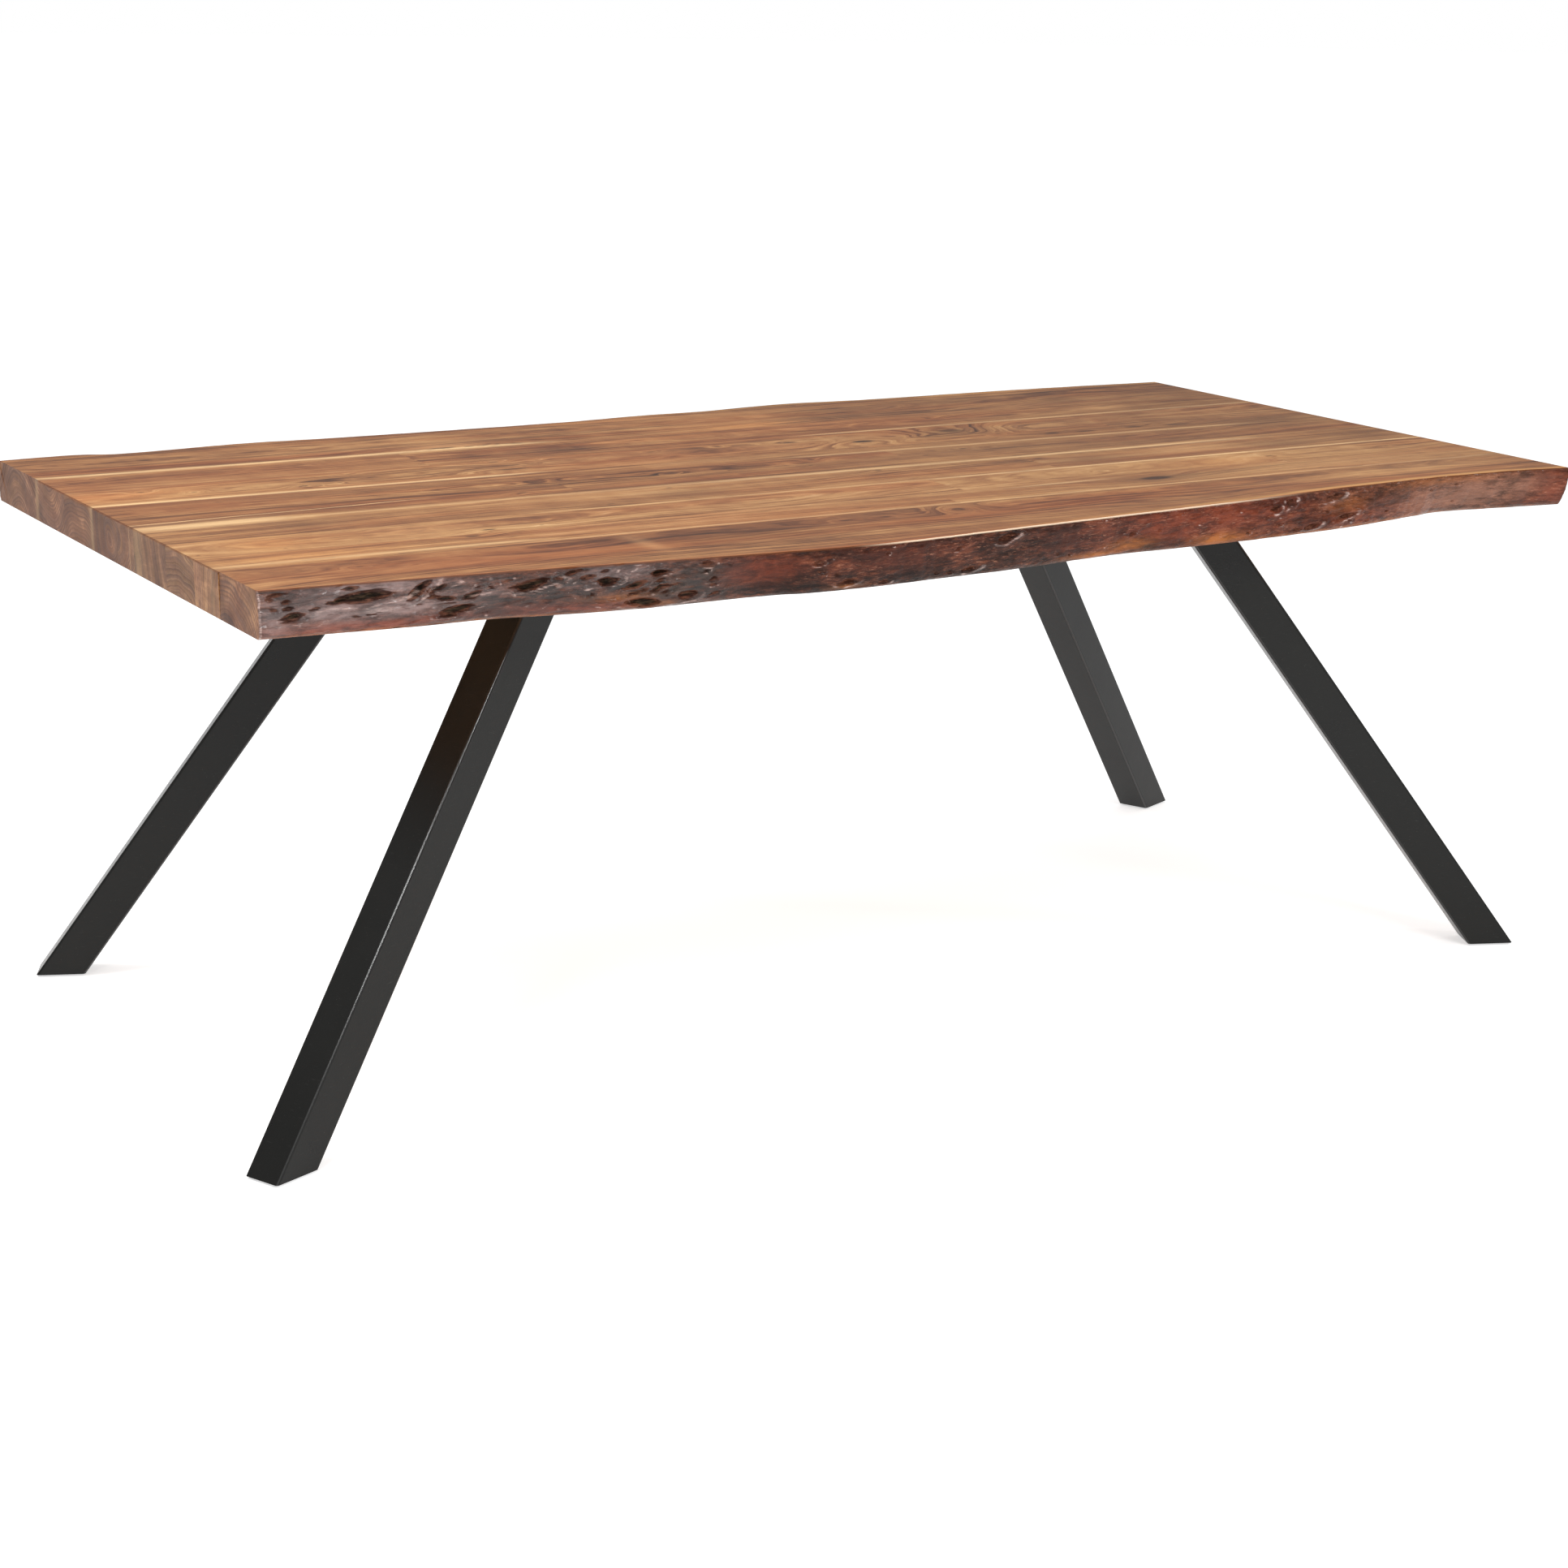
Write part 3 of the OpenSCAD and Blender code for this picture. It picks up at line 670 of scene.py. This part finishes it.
def bark_relief(x, y, hollows, bumps, rng):
    """Relief of the bark side in millimetres, with masks of the hollows and of the raised rims, ridges and
    bumps where a highlight is painted.
    """
    bend = 3.2 * lattice_noise(rng, x, y, 18, 8) + 1.5 * lattice_noise(rng, x, y, 7, 3.5)
    lift = 1.3 * lattice_noise(rng, x, y, 30, 11) + 0.6 * lattice_noise(rng, x, y, 9, 4)
    xb, yb = x + bend, y + lift
    wild = gnarled(x)
    flow = 1 - np.abs(lattice_noise(rng, xb, yb + 0.12 * xb, 34, 6.5)) * 2
    crease = 1 - np.abs(lattice_noise(rng, xb, yb + 0.16 * xb, 17, 3.6)) * 2
    wrinkle = lattice_noise(rng, xb, yb, 22, 1.9)
    relief = 1.1 * lattice_noise(rng, x, y, 60, 26) + wild * (1.05 * flow + 0.55 * crease)
    relief += 0.30 * lattice_noise(rng, x, y, 12, 5) + 0.16 * lattice_noise(rng, x, y, 5, 2.4)
    hollow = 0.55 * wild * np.clip(-0.9 * flow - 0.7 * crease - 0.2, 0, 1)
    # flow ridges in the gnarled part get a painted highlight
    ridge = np.clip((flow - 0.78) / 0.22, 0, 1) * np.clip(2 * wild - 1, 0, 1)
    highlight_rim = ridge * (0.65 + 0.35 * crease)
    for hx, share, length, height, turn, depth, lip in hollows:
        u, v = in_ellipse(xb, yb, hx, share * THICKNESS, length, height, turn)
        lens = np.clip(1 - u * u, 0, 1) ** 1.1 + 0.02
        across = (v + 0.12) / lens
        inside = np.abs(u) < 1
        bowl = np.clip(1 - across * across, 0, 1) * inside * np.clip(1 - u * u, 0, 1) ** 0.4
        relief -= 1.1 * depth * bowl ** 0.75 + 1.4 * bowl * wrinkle
        around = np.hypot(u * 0.9, v)
        below = 0.55 + 0.45 * np.clip(v + 0.4 * u, -1, 1)
        lips = np.exp(-(((around - 1.38) / 0.46) ** 2)) * below
        relief += 1.6 * lip * lips
        # bigger hollows get a darker core, partly painted shade in the recess
        murky = min(1.0, 0.15 + length / 36)
        hollow = np.maximum(hollow, bowl * (0.35 + 0.65 * wild) * murky)
        crest = np.exp(-(((around - 1.30) / 0.30) ** 2)) * below
        highlight_rim = np.maximum(highlight_rim, crest * min(lip, 1.2) * (0.6 + 0.4 * crease) * (1.6 - 0.5 * wild))
    for bx, share, length, height, turn, stand in bumps:
        d = np.hypot(*in_ellipse(xb, yb, bx, share * THICKNESS, length, height, turn))
        relief += 1.5 * stand * np.exp(-d * d * 1.3)
        highlight_rim = np.maximum(highlight_rim, 1.6 * np.exp(-d * d * 3.0) * (0.7 + 0.3 * crease))
    return relief, hollow, highlight_rim


def random_hollows(rng, count, first, last, longest):
    """Hollows between two places along an edge, for what the photo doesn't show or is too small to list."""
    made = []
    for _ in range(count):
        length = rng.uniform(0.25, 1.0) * longest
        x, share = rng.uniform(first, last), rng.uniform(0.12, 0.88)
        height = rng.uniform(0.12, 0.24) * length + 2
        turn, depth, lip = rng.uniform(-20, 4), rng.uniform(1.4, 3.4), rng.uniform(0.4, 1.3)
        made.append((x, share, length, height, turn, depth, lip))
    return made


def tone_masks(x, share, tones):
    """One mask for each bark tone, 0 to 1."""
    masks = {name: np.zeros_like(x) for name in BARK_TONES}
    for tx, ts, half_length, half_height, tone, strength in tones:
        d2 = ((x - tx) / half_length) ** 2 + ((share - ts) / half_height) ** 2
        masks[tone] = np.maximum(masks[tone], strength * np.exp(-d2))
    return masks


def bark_surface(node, hollows, bumps, tones, rng):
    """The natural edge in millimetres, a column to each x and a row to each level, with its masks."""
    levels, glue = edge_rows(node)
    outward = -1 if node.endswith("front") else 1
    low, high = (corner.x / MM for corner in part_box(node))
    columns = int(round((high - low) / BARK_STEP)) + 1
    xs = np.linspace(low, high, columns)
    shares = np.array([(TOP_HEIGHT - z) / THICKNESS for z, _, _ in levels])
    at_levels = np.array([smooth_through(lx, ly, xs) for _, lx, ly in levels])
    rows = 0.5 - 0.5 * np.cos(np.linspace(0.22, math.pi - 0.22, BARK_ROWS))
    rows = (rows - rows[0]) / (rows[-1] - rows[0])
    ys = np.array([smooth_through(shares, at_levels[:, i], rows) for i in range(columns)])
    x = np.repeat(xs[:, None], BARK_ROWS, axis=1)
    share = np.repeat(rows[None, :], columns, axis=0)
    relief, hollow, highlight_rim = bark_relief(x, share * THICKNESS, hollows, bumps, rng)
    # the relief dies away at the sawn faces, where the board was planed and cut
    keep = np.clip(share / PLANED_TOP, 0, 1) * np.clip((1 - share) / PLANED_UNDER, 0, 1)
    waver = 0.7 * lattice_noise(rng, x[:, :1], 0 * x[:, :1], 24, 1)
    waver += 0.35 * lattice_noise(rng, x[:, :1], 0 * x[:, :1], 7, 1)
    ys = ys + outward * (relief * keep + waver - BARK_INSET)
    # a painted highlight down the upright lacquered arris at the first cut end
    highlight_rim = np.maximum(highlight_rim, 1.3 * (x < low + 1.5 * BARK_STEP))
    masks = {"hollow": hollow, "highlight_rim": highlight_rim, **tone_masks(x, share, tones), "share": share}
    return xs, ys, TOP_HEIGHT - share * THICKNESS, glue, masks


def board_rings(xs, ys, zs, glue):
    """Rings of points: from the glue line over the top, down the bark and back along the underside."""
    top_y = [ys[:, :1] + (glue - ys[:, :1]) * (1 - c) for c in WOOD_COLUMNS]
    low_y = [ys[:, -1:] + (glue - ys[:, -1:]) * (1 - c) for c in WOOD_COLUMNS[::-1]]
    ring_y = np.hstack([*top_y, ys, *low_y])
    flat = np.ones((len(xs), len(WOOD_COLUMNS)))
    ring_z = np.hstack([flat * TOP_HEIGHT, zs, flat * UNDERSIDE])
    ring_x = np.repeat(xs[:, None], ring_y.shape[1], axis=1)
    # soften both cut ends like the staves' own arris
    end_round = np.clip((TOP_HEIGHT - ring_z) / END_ARRIS, 0, 1)
    at_end = np.abs(ring_x) > xs[-1] - 1.0
    ring_x = ring_x * (1 - (1 - end_round) * END_ARRIS / np.abs(xs[0]) * at_end)
    return np.stack([ring_x, ring_y, ring_z], axis=2)


def live_edge_board(node, hollows, bumps, tones, rng, materials):
    """The CAD board's own outline, with the relief of its natural edge worked into it."""
    xs, ys, zs, glue, masks = bark_surface(node, hollows, bumps, tones, rng)
    rings = board_rings(xs, ys, zs, glue)
    columns, count = rings.shape[:2]
    faces = ring_faces(columns, count)
    faces.append(tuple(range(count))[::-1])
    faces.append(tuple((columns - 1) * count + j for j in range(count)))
    if node.endswith("rear"):
        faces = [f[::-1] for f in faces]
    mesh = bpy.data.meshes.new("live_" + node)
    mesh.from_pydata((rings.reshape(-1, 3) * MM).tolist(), [], faces)
    for material in materials:
        mesh.materials.append(material)

    bark_first, bark_last = len(WOOD_COLUMNS), len(WOOD_COLUMNS) + BARK_ROWS - 1
    index = np.arange(count)
    slots = ((index >= bark_first) & (index < bark_last)).astype(int)
    mesh.polygons.foreach_set("material_index", [*np.tile(slots, columns - 1).tolist(), 0, 0])
    smooth = (index >= bark_first - 1) & (index <= bark_last)
    mesh.polygons.foreach_set("use_smooth", [*np.tile(smooth, columns - 1).tolist(), False, False])
    side = ((0, 0), (bark_first, count - bark_last - 1))
    masks = {name: np.pad(values, side, mode="edge") for name, values in masks.items()}
    masks["from_edge"] = np.abs(rings[:, :, 1] - ys[:, :1]) * MM
    for name, values in masks.items():
        layer = mesh.attributes.new(name, "FLOAT", "POINT")
        layer.data.foreach_set("value", values.astype(np.float32).ravel())
    mesh.validate()
    board = add_object("live_" + node, mesh)
    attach(board, "table")
    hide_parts(node)


def bark(name, seed):
    """The natural edge under thick gloss lacquer: dark brown, patched red and amber, with a painted
    grey-violet sheen and painted highlights.
    """
    n = Nodes(name)
    place = n.place()
    shifted = n.vector("ADD", place, (seed * 2.3, seed * 1.9, seed * 0.7))
    cloud = n.noise(shifted, (7, 24, 30), detail=4, roughness=0.62, bend=0.4)
    blotch = n.noise(shifted, (30, 70, 110), detail=4, roughness=0.66, bend=0.3)
    fibre = n.noise(shifted, (52, 200, 290), detail=4, roughness=0.74, bend=0.3)
    grit = n.noise(shifted, (420, 700, 900))
    shade = n.sway(blotch, 0.80, cloud)
    shade = n.sway(fibre, 1.10, shade)
    shade = n.sway(grit, 0.30, shade)
    # the middle of the edge is darker than its ends
    x = n.split(place)[0]
    middle = n.times(n.window(x, -0.86, -0.72), n.fall(x, 0.05, 0.45))
    shade = n.line(middle, -0.10, n.add(shade, 0.01))
    colour = n.ramp(shade, BARK)
    breakup = n.window(blotch, 0.30, 0.62, 0.45, 1.1)
    # the bark tones, one of them a painted grey-violet sheen, mixed in by their masks
    for tone, tint in BARK_TONES.items():
        share = n.times(n.attribute(tone), breakup, clamp=True)
        toned = n.mix(n.window(shade, 0.25, 0.75, 0.9, 0.0), tint, colour, "MULTIPLY")
        colour = n.mix(share, colour, n.mix(0.75, colour, n.mix(0.25, tint, toned)))
    hollow = n.attribute("hollow")
    highlight_rim = n.attribute("highlight_rim")
    strands = n.window(fibre, 0.42, 0.62)
    inside = n.mix(strands, srgb(44, 23, 16), srgb(98, 62, 48))
    colour = n.mix(n.window(hollow, 0.06, 0.40, 0.0, 0.85), colour, inside)
    # the deepest part of each hollow darkens to near black: painted shade in the recess, over the bark's own
    # darker inner colour
    core = n.mix(strands, srgb(12, 9, 5), srgb(52, 42, 30))
    colour = n.mix(n.window(hollow, 0.66, 0.95, 0.0, 0.92), colour, core)
    # painted highlight: the raised rims, ridges and bumps and the arris at the cut end are lightened as if
    # they catch the light, broken up along the fibre
    worn = n.times(breakup, n.window(fibre, 0.42, 0.60, 0.15, 1.0))
    pale = n.times(n.window(highlight_rim, 0.45, 1.2, 0.0, 0.85), worn)
    colour = n.mix(pale, colour, srgb(180, 152, 142))
    flecks = n.window(n.noise(shifted, (90, 380, 480), detail=3, roughness=0.6), 0.56, 0.70, 0.0, 0.36)
    flecks = n.times(flecks, n.times(n.window(x, -0.45, -0.20), n.window(cloud, 0.40, 0.60, 0.25, 1.0)))
    colour = n.mix(flecks, colour, srgb(176, 122, 98))
    # the strip along the top arris: brown-orange towards the ends, and in the middle stretch a pale painted
    # highlight of the lacquered arris
    rind = n.window(n.attribute("share"), 0.012, 0.045, 0.9, 0.0)
    arris_highlight = n.times(n.window(x, -0.26, -0.16), n.fall(x, 0.30, 0.55))
    lit = n.mix(arris_highlight, srgb(92, 52, 30), srgb(226, 200, 172))
    colour = n.mix(rind, colour, lit)
    polished = n.fall(x, -0.50, -0.35)
    gloss = n.math("MAXIMUM", n.line(polished, 0.38, 0.16), n.window(highlight_rim, 0.3, 0.9, 0.0, 0.9))
    sealed = n.window(hollow, 0.05, 0.45, 1.0, 0.12)
    flowing = n.window(n.attribute("painted_sheen"), 0.2, 0.8, 1.0, 0.25)
    glazed = n.window(blotch, 0.3, 0.7, 0.05, 0.14)
    height = n.times(n.line(grit, 0.25, fibre), flowing)
    coarse = n.bump(n.times(blotch, flowing), 0.0012)
    return n.surface(
        Base_Color=colour,
        Roughness=n.line(hollow, 0.3, n.window(cloud, 0.3, 0.7, 0.26, 0.42)),
        Specular_IOR_Level=n.times(sealed, n.line(polished, 0.10, 0.07)),
        Coat_Weight=n.times(sealed, gloss),
        Coat_Roughness=n.line(n.attribute("painted_sheen"), 0.12, glazed),
        Normal=n.bump(height, 0.0009, coarse),
        Coat_Normal=n.bump(n.times(fibre, flowing), 0.0005, coarse),
    )


# ---- metal and plastic parts


def tube_sides():
    """Unsigned directions of the legs' two pairs of flat sides."""
    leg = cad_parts["leg_front_left"].data
    flats = sorted(leg.polygons, key=lambda polygon: -polygon.area)
    first = flats[0].normal
    second = next(flat.normal for flat in flats if abs(flat.normal.dot(first)) < 0.5)
    return [tuple(abs(c) for c in normal) for normal in (first, second)]


TUBE_SIDE, TUBE_FACE = tube_sides()


def black_coat():
    """Satin black powder coat with a fine orange peel, faint scuffs and a little dust."""
    n = Nodes("black_coat")
    place = n.place()
    peel = n.noise(place, (420, 420, 420))
    cloud = n.noise(place, (9, 9, 9), detail=3)
    scuff = n.noise(place, (60, 60, 900))
    scuff = n.window(scuff, 0.66, 0.76)
    dust = n.fall(n.cells(place, (160, 160, 160)), 0.03, 0.07)
    colour = n.mix(cloud, srgb(15, 15, 14), srgb(23, 23, 21))
    colour = n.mix(n.times(scuff, 0.10), colour, srgb(90, 90, 86))
    colour = n.mix(n.times(dust, 0.25), colour, srgb(120, 120, 116))
    rough = n.line(cloud, 0.10, 0.24)
    rough = n.line(scuff, 0.08, rough)
    # the arrises of the tubes are rubbed smooth: there the surface faces neither pair of flat sides
    facing = n.vector("ABSOLUTE", n.place("Normal"))
    off_flat = [n.vector("DOT_PRODUCT", facing, side) for side in (TUBE_SIDE, TUBE_FACE)]
    arris = n.times(n.fall(off_flat[0], 0.90, 0.99), n.fall(off_flat[1], 0.90, 0.99))
    return n.surface(
        Base_Color=colour,
        Roughness=rough,
        Specular_IOR_Level=0.22,
        Coat_Weight=n.times(arris, 0.9),
        Coat_Roughness=0.12,
        Normal=n.bump(peel, 0.00008, n.bump(cloud, 0.0006)),
    )


def zinc_steel():
    """Bright zinc-plated steel, brushed and slightly dulled."""
    n = Nodes("zinc_steel")
    place = n.place()
    brush = n.noise(place, (300, 300, 2600))
    cloud = n.noise(place, (90, 90, 90), detail=3)
    colour = n.mix(cloud, srgb(168, 170, 174), srgb(206, 206, 202))
    return n.surface(
        Base_Color=colour,
        Metallic=1.0,
        Roughness=n.window(cloud, 0.3, 0.7, 0.24, 0.42),
        Normal=n.bump(brush, 0.00003),
    )


def brass():
    """Machined brass with turning marks and a dull film."""
    n = Nodes("brass")
    place = n.place()
    marks = n.noise(place, (200, 200, 4000), detail=1)
    film = n.noise(place, (120, 120, 120), detail=3)
    return n.surface(
        Base_Color=n.mix(film, srgb(198, 158, 84), srgb(148, 112, 58)),
        Metallic=1.0,
        Roughness=n.window(film, 0.3, 0.7, 0.26, 0.46),
        Normal=n.bump(marks, 0.00003),
    )


def black_nylon():
    """Moulded black nylon, slightly grained and worn grey where it meets the floor."""
    n = Nodes("black_nylon")
    place = n.place()
    grain = n.noise(place, (1500, 1500, 1500))
    worn = n.window(n.split(place)[2], 0.0, 0.0012, 0.6, 0.0)
    colour = n.mix(grain, srgb(24, 24, 24), srgb(36, 36, 36))
    return n.surface(
        Base_Color=n.mix(n.times(worn, grain), colour, srgb(86, 84, 80)),
        Roughness=n.line(grain, 0.16, 0.44),
        Normal=n.bump(grain, 0.00008),
    )


def studio_paint(name, grey, glow):
    """Matt paint of the studio, which glows a little so that shadows stay light."""
    n = Nodes(name)
    return n.surface(
        Base_Color=(grey, grey, grey, 1.0),
        Roughness=0.9,
        Specular_IOR_Level=0.0,
        Emission_Color=(1.0, 1.0, 1.0, 1.0),
        Emission_Strength=glow,
    )


def flat_panel(x, y, z):
    """Corners and face of a level panel between two x and two y."""
    return [(x[0], y[0], z), (x[1], y[0], z), (x[1], y[1], z), (x[0], y[1], z)], [(0, 1, 2, 3)]


def round_wall():
    """Points and faces of an upright wall all round the studio."""
    turns = [2 * math.pi * k / WALL_SIDES for k in range(WALL_SIDES)]
    ring = [(WALL_RADIUS * math.cos(turn), WALL_RADIUS * math.sin(turn)) for turn in turns]
    points = [(x, y, z) for z in (0, WALL_HEIGHT) for x, y in ring]
    return points, ring_faces(2, WALL_SIDES)


def add_panel(name, points, faces, paint, only_for=None):
    """Part of the studio, which may show to only one sort of ray."""
    mesh = bpy.data.meshes.new(name)
    mesh.from_pydata(points, [], faces)
    panel = add_object(name, mesh)
    if only_for:
        for ray in ("camera", "diffuse", "glossy", "transmission", "volume_scatter", "shadow"):
            setattr(panel, "visible_" + ray, ray == only_for)
    dress(panel, paint)


def add_studio():
    """The floor, a wall that only the camera sees, so that low views stay pale, and a soft sky."""
    half = FLOOR_SPAN / 2
    floor = flat_panel((-half, half), (-half, half), 0)
    add_panel("floor", *floor, studio_paint("studio_floor", 0.78, 0.58))
    add_panel("backdrop", *round_wall(), studio_paint("studio_backdrop", 0.0, 1.0), "camera")
    n = Nodes("studio", "worlds")
    sky = n.ramp(n.split(n.place("Generated"))[2], SKY)
    n.make("OutputWorld", n.make("Background", sky, SKY_STRENGTH).outputs[0])
    bpy.context.scene.world = n.owner


def tube_outline(node, height):
    """The corners of a leg's outer wall where it meets a level, in order round it, in metres."""
    points = cad_points(node)
    ring = points[np.abs(points[:, 2] - height) < 0.02 * MM][:, :2]
    centre = ring.mean(axis=0)
    reach = ring - centre
    far = np.hypot(*reach.T)
    angle = np.arctan2(reach[:, 1], reach[:, 0])
    order = np.argsort(angle)
    hull = []
    for k in order:
        same = far[np.abs(angle - angle[k]) < 0.06]
        if far[k] > same.max() - 1.0 * MM:
            hull.append(ring[k])
    return np.array(hull)


WELD_STEP = 0.9 * MM
WELD_SIDES = 8
WELD_RIPPLE = 2.3 * MM
WELD_OUT, WELD_DOWN, WELD_DROP = 2.6 * MM, 2.2 * MM, 0.8 * MM


def weld_bead(corner):
    """A rippled fillet weld round the head of a leg, under its plate."""
    leg = "leg_" + corner
    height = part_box(leg)[1].z
    outline = tube_outline(leg, height)
    closed = np.vstack([outline, outline[:1]])
    run = np.concatenate([[0], np.cumsum(np.hypot(*np.diff(closed, axis=0).T))])
    steps = int(run[-1] / WELD_STEP)
    at = np.linspace(0, run[-1], steps, endpoint=False)
    path = np.stack([np.interp(at, run, closed[:, k]) for k in (0, 1)], axis=1)
    rng = np.random.default_rng(SEED + len(corner))
    ripple = 1 + 0.10 * np.sin(at / WELD_RIPPLE * 2 * math.pi) + rng.uniform(-0.05, 0.05, steps)
    ahead = np.roll(path, -1, axis=0) - np.roll(path, 1, axis=0)
    normal = np.stack([ahead[:, 1], -ahead[:, 0]], axis=1)
    normal /= np.hypot(*normal.T)[:, None]
    points = []
    for k in range(WELD_SIDES):
        turn = 2 * math.pi * k / WELD_SIDES
        out = WELD_OUT * ripple * math.cos(turn)
        down = WELD_DOWN * ripple * math.sin(turn) - WELD_DROP
        ring = np.column_stack([path + normal * out[:, None], height + down])
        points.append(ring)
    points = np.stack(points, axis=1).reshape(-1, 3)
    points[:, 2] = np.minimum(points[:, 2], height - 0.02 * MM)
    faces = ring_faces(steps, WELD_SIDES, closed=True)
    return add_piece("weld_" + corner, points, faces, "table")


THREAD_PITCH = 1.25 * MM
THREAD_DEPTH = 0.55 * MM
THREAD_SIDES = 24


def threaded_stem(corner):
    """A glide's stem with a real helical thread on its shank, in the place of the plain CAD stem."""
    node = "glide_stem_" + corner
    points = cad_points(node)
    low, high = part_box(node)
    centre = (low + high) / 2
    reach = np.hypot(points[:, 0] - centre.x, points[:, 1] - centre.y)
    shank = reach.max()
    shank_start = points[reach > shank - 0.1 * MM][:, 2].min()
    spigot = reach[points[:, 2] < low.z + 0.05 * MM].max()
    rings = [(low.z, 0.0, 0), (low.z, spigot, 0), (shank_start, spigot, 0)]
    steps = int((high.z - shank_start) / (THREAD_PITCH / 8))
    for s in range(steps + 1):
        z = shank_start + (high.z - shank_start) * s / steps
        rings.append((z, shank, 1))
    rings.append((high.z, 0.0, 0))
    made = []
    for z, radius, threaded in rings:
        for k in range(THREAD_SIDES):
            share = k / THREAD_SIDES
            phase = ((z - low.z) / THREAD_PITCH - share) % 1.0
            cut = THREAD_DEPTH * abs(2 * phase - 1) if threaded else 0.0
            taper = min(1.0, (high.z - z) / THREAD_PITCH)
            r = max(radius - cut - (1 - taper) * THREAD_DEPTH * threaded, 0.0)
            turn = 2 * math.pi * share
            made.append((centre.x + r * math.cos(turn), centre.y + r * math.sin(turn), z))
    faces = ring_faces(len(rings), THREAD_SIDES)
    stem = add_piece("thread_" + corner, made, faces, "stem_" + corner)
    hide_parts(node)
    return stem


def add_piece(name, points, faces, body):
    """A smooth-shaded mesh that rides on a CAD body."""
    mesh = bpy.data.meshes.new(name)
    mesh.from_pydata([tuple(p) for p in points], [], faces)
    # points that fall together, such as the tip of a stem, become one
    merged = bmesh.new()
    merged.from_mesh(mesh)
    bmesh.ops.remove_doubles(merged, verts=merged.verts, dist=0.001 * MM)
    merged.to_mesh(mesh)
    merged.free()
    mesh.polygons.foreach_set("use_smooth", [True] * len(mesh.polygons))
    mesh.validate()
    piece = add_object(name, mesh)
    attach(piece, body)
    return piece


def dress(obj, *materials):
    obj.data.materials.clear()
    for material in materials:
        obj.data.materials.append(material)


# ---- assembly

FINISHES = {
    black_coat: ("leg", "top_plate", "foot_plate"),
    zinc_steel: ("bolts", "washers", "bush", "glide_stem"),
    brass: ("inserts",),
    black_nylon: ("glide_pad",),
}
CORNERS = ("front_left", "front_right", "rear_left", "rear_right")
rng = np.random.default_rng(SEED)

finishes = {make: make() for make in FINISHES}
for corner in CORNERS:
    for make, parts in FINISHES.items():
        for part in parts:
            dress(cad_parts[part + "_" + corner], finishes[make])
    dress(weld_bead(corner), finishes[black_coat])
    dress(threaded_stem(corner), finishes[zinc_steel])

for number, node in enumerate(sorted(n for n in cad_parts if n.startswith("stave_"))):
    dress(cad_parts[node], wood(node, 1 + number))

looks = (wood("edge_board_front", 31, live_edge=True), bark("bark_front", 1))
small_hollows = random_hollows(rng, 24, -830, -430, 34) + random_hollows(rng, 22, -430, 1000, 11)
live_edge_board("edge_board_front", FRONT_HOLLOWS + small_hollows, FRONT_BUMPS, FRONT_TONES, rng, looks)
mirrored = [(-x, share, *rest) for x, share, *rest in FRONT_TONES]
looks = (wood("edge_board_rear", 32, live_edge=True), bark("bark_rear", 2))
rear_hollows = random_hollows(rng, 46, -1000, 1000, 46)
live_edge_board("edge_board_rear", rear_hollows, FRONT_BUMPS[::2], mirrored, rng, looks)

add_studio()
add_softbox("key", (-2.0, 0.6, 3.4), (-0.4, 0.0, 0.7), (2.2, 2.2), 70)
add_softbox("front", (0.5, -3.9, 2.3), (-0.6, -0.5, 0.7), (1.6, 0.7), 88, ("diffuse",))
add_softbox("glint", (0.4, -3.9, 2.0), (-0.6, -0.5, 0.7), (0.4, 0.25), 15, ("glossy",))
add_softbox("second_glint", (-1.3, -4.2, 2.7), (-0.6, -0.5, 0.7), (0.5, 0.3), 24, ("glossy",))
add_softbox("corner", (-2.7, -2.7, 3.0), (-0.8, -0.4, 0.5), (0.5, 0.5), 24)
add_softbox("spark", (2.9, -2.6, 2.4), (0.4, -0.6, 0.7), (0.4, 0.25), 16)
add_camera()

bpy.context.scene.view_settings.view_transform = "Standard"
